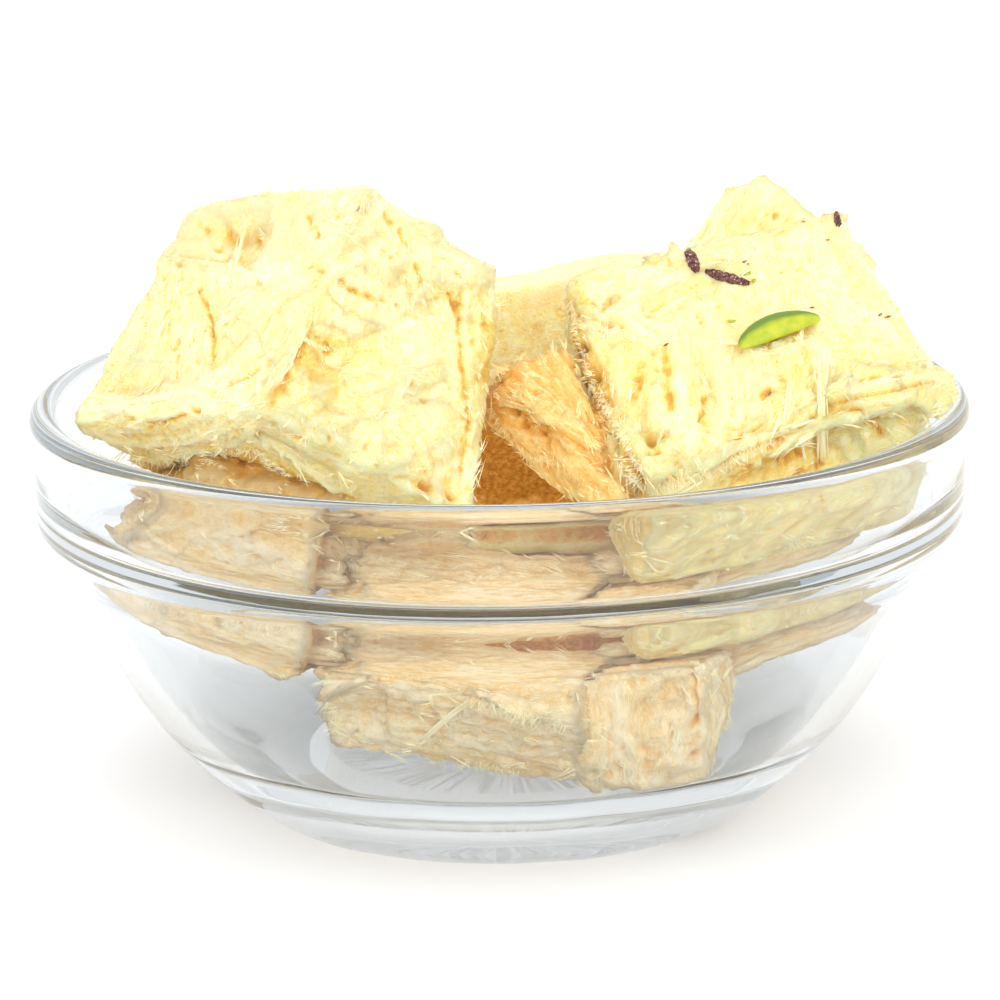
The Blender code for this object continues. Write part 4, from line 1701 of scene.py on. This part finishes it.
@dataclass
class Heap:
    """All pieces in the bowl, with the threads on them."""

    bowl: GlassBowl
    pieces: list[FlakyPiece] = field(default_factory=lambda: [
        FlakyPiece("left_top_piece", (-14.6, 33, 33), 1, 1, 0.39, 60, 1000, LEFT_TOP,
                   uneven=0.10, fibrous=0.05, ragged=0.12, drawn_out=0.72),
        FlakyPiece("right_top_piece", (31.1, -9.9, 12.2), 1, 2, 0.39, 100, 1000, RIGHT_TOP,
                   dict(light=(1.0, 0.94, 0.61), pale=(0.98, 0.89, 0.44), body=(0.98, 0.81, 0.31)),
                   ((11.4, -7.6, 62.0, 2.1, 2.2, 3.0), (12.5, -11.2, 58.2, 2.2, 2.2, 2.8),
                    (14.1, -15.0, 55.2, 2.3, 2.4, 2.6), (15.7, -20.4, 53.0, 2.3, 2.4, 2.6),
                    (16.9, -26.4, 50.4, 2.3, 2.4, 2.8), (53.4, -23.0, 57.6, 2.8, 2.6, 3.2)),
                   uneven=0.20, fibrous=0.30, ragged=0.38),
        # its darker golden and brown colours are painted shade, as the piece sits shaded at the back of the
        # heap
        FlakyPiece("back_middle_piece", (-6, -9, -6), 0, 3, 0.68, 20, 100, BACK_MIDDLE,
                   dict(gold=(0.86, 0.50, 0.10), deep=(0.50, 0.17, 0.015)),
                   ((-10, 25, 29.8, 6, 3, 2.4), (2, 23, 29.4, 8, 3, 2.2), (12, 22, 29.0, 7, 3, 2.2)),
                   fibrous=0.0, ragged=0.15, drawn_out=0.25),
        FlakyPiece("back_right_piece", (-22, 39, 4), 2, 4, 0.48, 16, 200),
        # its orange colours are painted shade, as the slab sits shaded between the top pieces
        FlakyPiece("centre_slab", (5, 34.2, -42.9), 0, 5, 0.34, 60, 330, CENTRE,
                   dict(light=(0.90, 0.69, 0.30), pale=(0.88, 0.58, 0.20), body=(0.86, 0.47, 0.13),
                        gold=(0.86, 0.44, 0.08), deep=(0.60, 0.25, 0.035)),
                   ((12.1, -12.5, 53.4, 1.6, 2.4, 2.2), (12.9, -16.2, 52.3, 1.6, 2.4, 2.2),
                    (13.7, -18.5, 50.9, 1.6, 2.4, 2.2), (14.4, -22.0, 50.3, 1.6, 2.4, 2.2),
                    (15.0, -24.8, 49.2, 1.6, 2.2, 2.2), (15.6, -24.6, 47.2, 1.6, 2.2, 1.8)),
                   cut_below=45.2),
        FlakyPiece("front_bottom_piece", (31, 9.5, -6), 0, 6, 0.44, 90, 420, FRONT_BOTTOM, shaded_low_tones(0.93),
                   ((-21.5, -9, 37.2, 3.5, 4, 2.2), (-9, -5, 37.6, 6, 3, 2.0), (11, -21, 17.5, 3.2, 4, 5),
                    (15.5, -9, 33.4, 4, 4, 2.4)), uneven=0.9, ragged=0.55, drawn_out=0.55),
        FlakyPiece("left_bottom_piece", (11.6, 43, 4.6), 0, 7, 0.48, 80, 240, LEFT_BOTTOM, shaded_low_tones(0.85),
                   ((-21.5, -13, 37.0, 2.0, 4, 4.0), (-35, -23.4, 49.2, 4, 2.6, 2.4),
                    (-30, -23.2, 47.7, 5, 2.8, 2.8), (-23.5, -23.2, 45.9, 5, 2.8, 2.8),
                    (-22.8, -16.5, 33.2, 2.6, 3.0, 1.9), (-21.6, -17.5, 30.8, 2.4, 3.0, 1.5),
                    (-23.6, -16.0, 29.2, 2.3, 3.0, 1.6), (-20.6, -18.0, 32.2, 1.5, 2.0, 1.3),
                    (-21.0, -17.6, 34.6, 1.7, 2.2, 1.4), (-21.8, -17.2, 28.0, 1.8, 2.4, 1.2)),
                   uneven=0.7, ragged=0.60, drawn_out=0.60),
        FlakyPiece("right_bottom_piece", (4, -4, -12), 2, 8, 0.44, 60, 260, RIGHT_BOTTOM, shaded_low_tones(0.97),
                   ((15.5, -8, 28.5, 3.5, 4, 2.5), (10.9, -23.6, 15.5, 2.7, 3.5, 8.0)),
                   uneven=0.9, ragged=0.55),
        FlakyPiece("lower_right_piece", (4, -18, 20), 1, 9, 0.62, 50, 120, (), shaded_low_tones(),
                   uneven=0.5, ragged=0.3),
        FlakyPiece("lower_back_piece", (-6, 5, 8), 0, 10, 0.70, 50, 60, (), shaded_low_tones(),
                   uneven=0.5, ragged=0.3),
    ])

    def build(self) -> None:
        """Build every piece, then the threads over all of them."""
        shelter = Shelter()
        for piece in self.pieces:
            report(piece.build(self.bowl, shelter))
        for name, chosen, tones in (("left_threads", self.pieces[:1], PALE_THREADS),
                                    ("right_threads", self.pieces[1:4:2], PALE_THREADS),
                                    ("middle_threads", self.pieces[2:5:2], SHADED_GOLDEN_THREADS),
                                    ("lower_threads", self.pieces[5:], PALE_THREADS)):
            threads = Soup()
            for piece in chosen:
                piece.add_threads(threads)
            fuzz = add_object(name, threads.mesh(name))
            fuzz.data.validate()
            # a faint, even painted shade on the threads
            store(fuzz.data, "depth", np.full(len(fuzz.data.vertices), 0.02))
            finish = FlossFinish(name + "_floss", drawn=False, **tones)
            report(dress(fuzz, finish.build(), smooth=False))


# ---- the garnish -------------------------------------------------------------------------------
@dataclass
class Garnish:
    """The pistachio sliver, its crumbs and the bits of almond skin on the right top piece."""

    carrier: FlakyPiece
    skin_spots: tuple[tuple[Spot, Spot, float], ...] = (
        ((689, 251), (697, 273), 1.6), ((706, 272), (750, 284), 1.5), ((838, 227), (852, 223), 0.9))
    fleck_spots: tuple[Spot, ...] = (
        (745, 262), (748, 265), (667, 345), (770, 394), (880, 315), (888, 317), (812, 308), (803, 222),
        (828, 240))
    green_spots: tuple[Spot, ...] = ((748, 274), (754, 281), (732, 322))
    nut_width: float = 4.3
    skin_slot: str = "right_top_piece_flake"
    nut_slot: str = "pistachio_green"

    def nut(self) -> Piece:
        """Build the sliver from its solid, with its skin along the arched edge.

        Returns:
            Its object.
        """
        fine = modified(welded("pistachio_sliver"), "SUBSURF", levels=2, render_levels=2)
        points = points_of(fine)
        local = points - points.mean(0)
        ways = np.linalg.svd(local, full_matrices=False)[2]
        along, across = local @ ways[0], local @ ways[1]
        curve = np.polyfit(along, across, 2)
        side = -np.sign(curve[0])
        place = (across - np.polyval(curve, along)) * side / (0.5 * self.nut_width * MM)
        bumps = NoiseField(3).at(points, 0.9)
        set_points(fine, points + normals_of(fine) * (bumps * 0.07 * MM)[:, None])
        store(fine, "skin", smooth_step(-0.25, 0.30, place + 0.15 * bumps))
        nut = dress(add_object("pistachio_cut", fine), NutFinish().build())
        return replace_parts(nut, "pistachio_sliver")

    def skins(self) -> Piece:
        """Build the bits of skin as bent, wrinkled strips on the piece.

        Returns:
            Their object.
        """
        tree = tree_of(self.carrier.body.data)
        rng = np.random.default_rng(5)
        soup = Soup()
        for start, end, width in self.skin_spots:
            self.strip(soup, tree, start, end, width * MM, rng)
        bits = add_object("almond_skin_bits", soup.mesh("almond_skin_bits"))
        return dress(bits, SkinFinish().build())

    def flecks(self, name: str, spots: tuple[Spot, ...], size: float, finish: SkinFinish | NutFinish) -> Piece:
        """Press small chips into the piece.

        Args:
            name: their object's name.
            spots: where they are in the picture.
            size: how long they are, in millimetres.
            finish: their finish.

        Returns:
            Their object.
        """
        tree = tree_of(self.carrier.body.data)
        rng = np.random.default_rng(5)
        soup = Soup()
        for spot in spots:
            place, normal = CAMERA.seen_on(tree, [spot])
            axes = frames_on(normal, self.carrier.grain[None], 3.0, np.array([0.2]), rng)
            reach = size * np.array([[rng.uniform(0.7, 1.3), rng.uniform(0.4, 0.6), 0.35]]) * MM
            ChipShape(7, 0.4).add(soup, place + normal * 0.08 * MM, axes, reach, rng)
        return dress(add_object(name, soup.mesh(name)), finish.build())

    def strip(self, soup: Soup, tree: BVHTree, start: Spot, end: Spot, width: float,
              rng: np.random.Generator, rows: int = 15, cols: int = 7) -> None:
        """Add one strip of skin between two places of the picture.

        Args:
            soup: where it goes.
            tree: the faces that it lies on.
            start: one end.
            end: the other end.
            width: its width in the middle.
            rng: random numbers.
            rows: how many points it has along its length.
            cols: how many points it has over its width.
        """
        ends, facing = CAMERA.seen_on(tree, [start, end])
        up = unit(facing.mean(0)[None])[0]
        long_way = unit((ends[1] - ends[0])[None])[0]
        wide_way = np.cross(up, long_way)
        top = []
        for i in range(rows):
            t = i / (rows - 1)
            half = width * 0.5 * (math.sin(math.pi * (0.06 + 0.88 * t)) ** 0.6) * rng.uniform(0.8, 1.1)
            for j in range(cols):
                s = 2.0 * j / (cols - 1) - 1.0
                spot = ends[0] + (ends[1] - ends[0]) * t + wide_way * (s * half)
                hit = tree.ray_cast(Vector(spot + up * 0.004), Vector(-up))[0]
                base = np.array(hit) if hit is not None else spot
                arch = (1.0 - s * s) * 0.25 * MM + 0.22 * MM + rng.uniform(-0.03, 0.03) * MM
                top.append(base + up * arch)
        top_points = np.array(top)
        count = rows * cols
        faces = []
        for i in range(rows - 1):
            for j in range(cols - 1):
                a = i * cols + j
                faces.append([a, a + cols, a + cols + 1, a + 1])
                faces.append([count + a, count + a + 1, count + a + cols + 1, count + a + cols])
        edge = list(range(cols)) + [i * cols + cols - 1 for i in range(1, rows)]
        edge += [(rows - 1) * cols + j for j in range(cols - 2, -1, -1)]
        edge += [i * cols for i in range(rows - 2, 0, -1)]
        faces += [[a, b, b + count, a + count] for a, b in zip(edge, edge[1:] + edge[:1])]
        soup.add(np.concatenate([top_points, top_points - up * 0.20 * MM]), faces)

    def build(self) -> None:
        """Build all of the garnish."""
        red = SkinFinish("almond_flecks_skin", dark=(0.28, 0.06, 0.025), light=(0.50, 0.17, 0.07))
        green = NutFinish("pistachio_bits_flesh")
        report(self.flecks("almond_flecks", self.fleck_spots, 0.95, red))
        report(self.flecks("pistachio_bits", self.green_spots, 1.5, green))
        report(self.nut())
        report(self.skins())


# ---- the studio --------------------------------------------------------------------------------
@dataclass
class Studio:
    """White table, white surroundings and two large soft lamps."""

    floor_size: float = 6.0
    sky_strength: float = 1.27
    lamps: tuple[tuple[str, tuple[float, float, float], float, float], ...] = (
        ("key_lamp", (0.05, -0.60, 0.75), 0.70, 2.6), ("front_lamp", (0.10, -0.90, 0.12), 0.5, 1.9))
    aim: tuple[float, float, float] = (0.0, 0.0, 0.04)

    def floor(self) -> None:
        """Make the pale floor."""
        half = self.floor_size / 2.0
        soup = Soup()
        soup.add(np.array([[-half, -half, 0], [half, -half, 0], [half, half, 0], [-half, half, 0]]),
                 [[0, 1, 2, 3]])
        made = add_object("pale_floor", soup.mesh("pale_floor"))
        sheet = NodeSheet.material("pale_table")
        tone = sheet.ramp(sheet.noise(200.0, 2.0), (0.3, (0.92, 0.92, 0.92)), (0.7, (0.94, 0.94, 0.94)))
        sheet.set(Base_Color=tone, Roughness=0.9, Specular_IOR_Level=0.0)
        made.data.materials.append(sheet.owner)

    def sky(self) -> None:
        """Make the surroundings: white where seen, greyer towards the viewer's side for the glass."""
        world = bpy.data.worlds.new("white_studio")
        sheet = NodeSheet(world, "Background")
        way = sheet.node("SeparateXYZ", {0: sheet.node("TexCoord").outputs["Generated"]}).outputs["Y"]
        half = sheet.node("Math", {0: way, 1: 0.5, 2: 0.5}, operation="MULTIPLY_ADD").outputs[0]
        greys = sheet.ramp(half, (0.02, (0.75, 0.765, 0.79)), (0.25, (0.79, 0.803, 0.825)))
        path = sheet.node("LightPath").outputs
        seen = sheet.math("MAXIMUM", path["Is Camera Ray"], path["Is Diffuse Ray"])
        sheet.set(Color=sheet.blend(seen, greys, (1.0, 1.0, 1.0)), Strength=self.sky_strength)
        bpy.context.scene.world = world

    def lamp(self, name: str, place: tuple[float, float, float], size: float, power: float) -> None:
        """Hang one large soft lamp that looks at the bowl.

        Args:
            name: its name.
            place: where it hangs.
            size: its width.
            power: its power in watts.
        """
        data = bpy.data.lights.new(name, "AREA")
        data.shape = "DISK"
        data.size = size
        data.energy = power
        made = bpy.data.objects.new(name, data)
        bpy.context.scene.collection.objects.link(made)
        made.location = place
        made.rotation_euler = (Vector(self.aim) - made.location).to_track_quat("-Z", "Y").to_euler()

    def build(self) -> None:
        """Build the studio and set how light becomes colour."""
        self.floor()
        self.sky()
        for row in self.lamps:
            self.lamp(*row)
        CAMERA.build()
        view = bpy.context.scene.view_settings
        view.view_transform = "Standard"
        view.look = "None"
        view.exposure = 0.0


def report(made: Piece) -> None:
    """Log a piece and how many faces it has."""
    LOG.info("%s: %d faces", made.name, len(made.data.polygons))


def main() -> None:
    """Build the bowl, the heap in it, the garnish and the studio."""
    logging.basicConfig(level=logging.INFO, format="%(message)s")
    bowl = GlassBowl()
    report(bowl.build())
    heap = Heap(bowl)
    heap.build()
    Garnish(heap.pieces[1]).build()
    Studio().build()


if __name__ == "__main__":
    main()
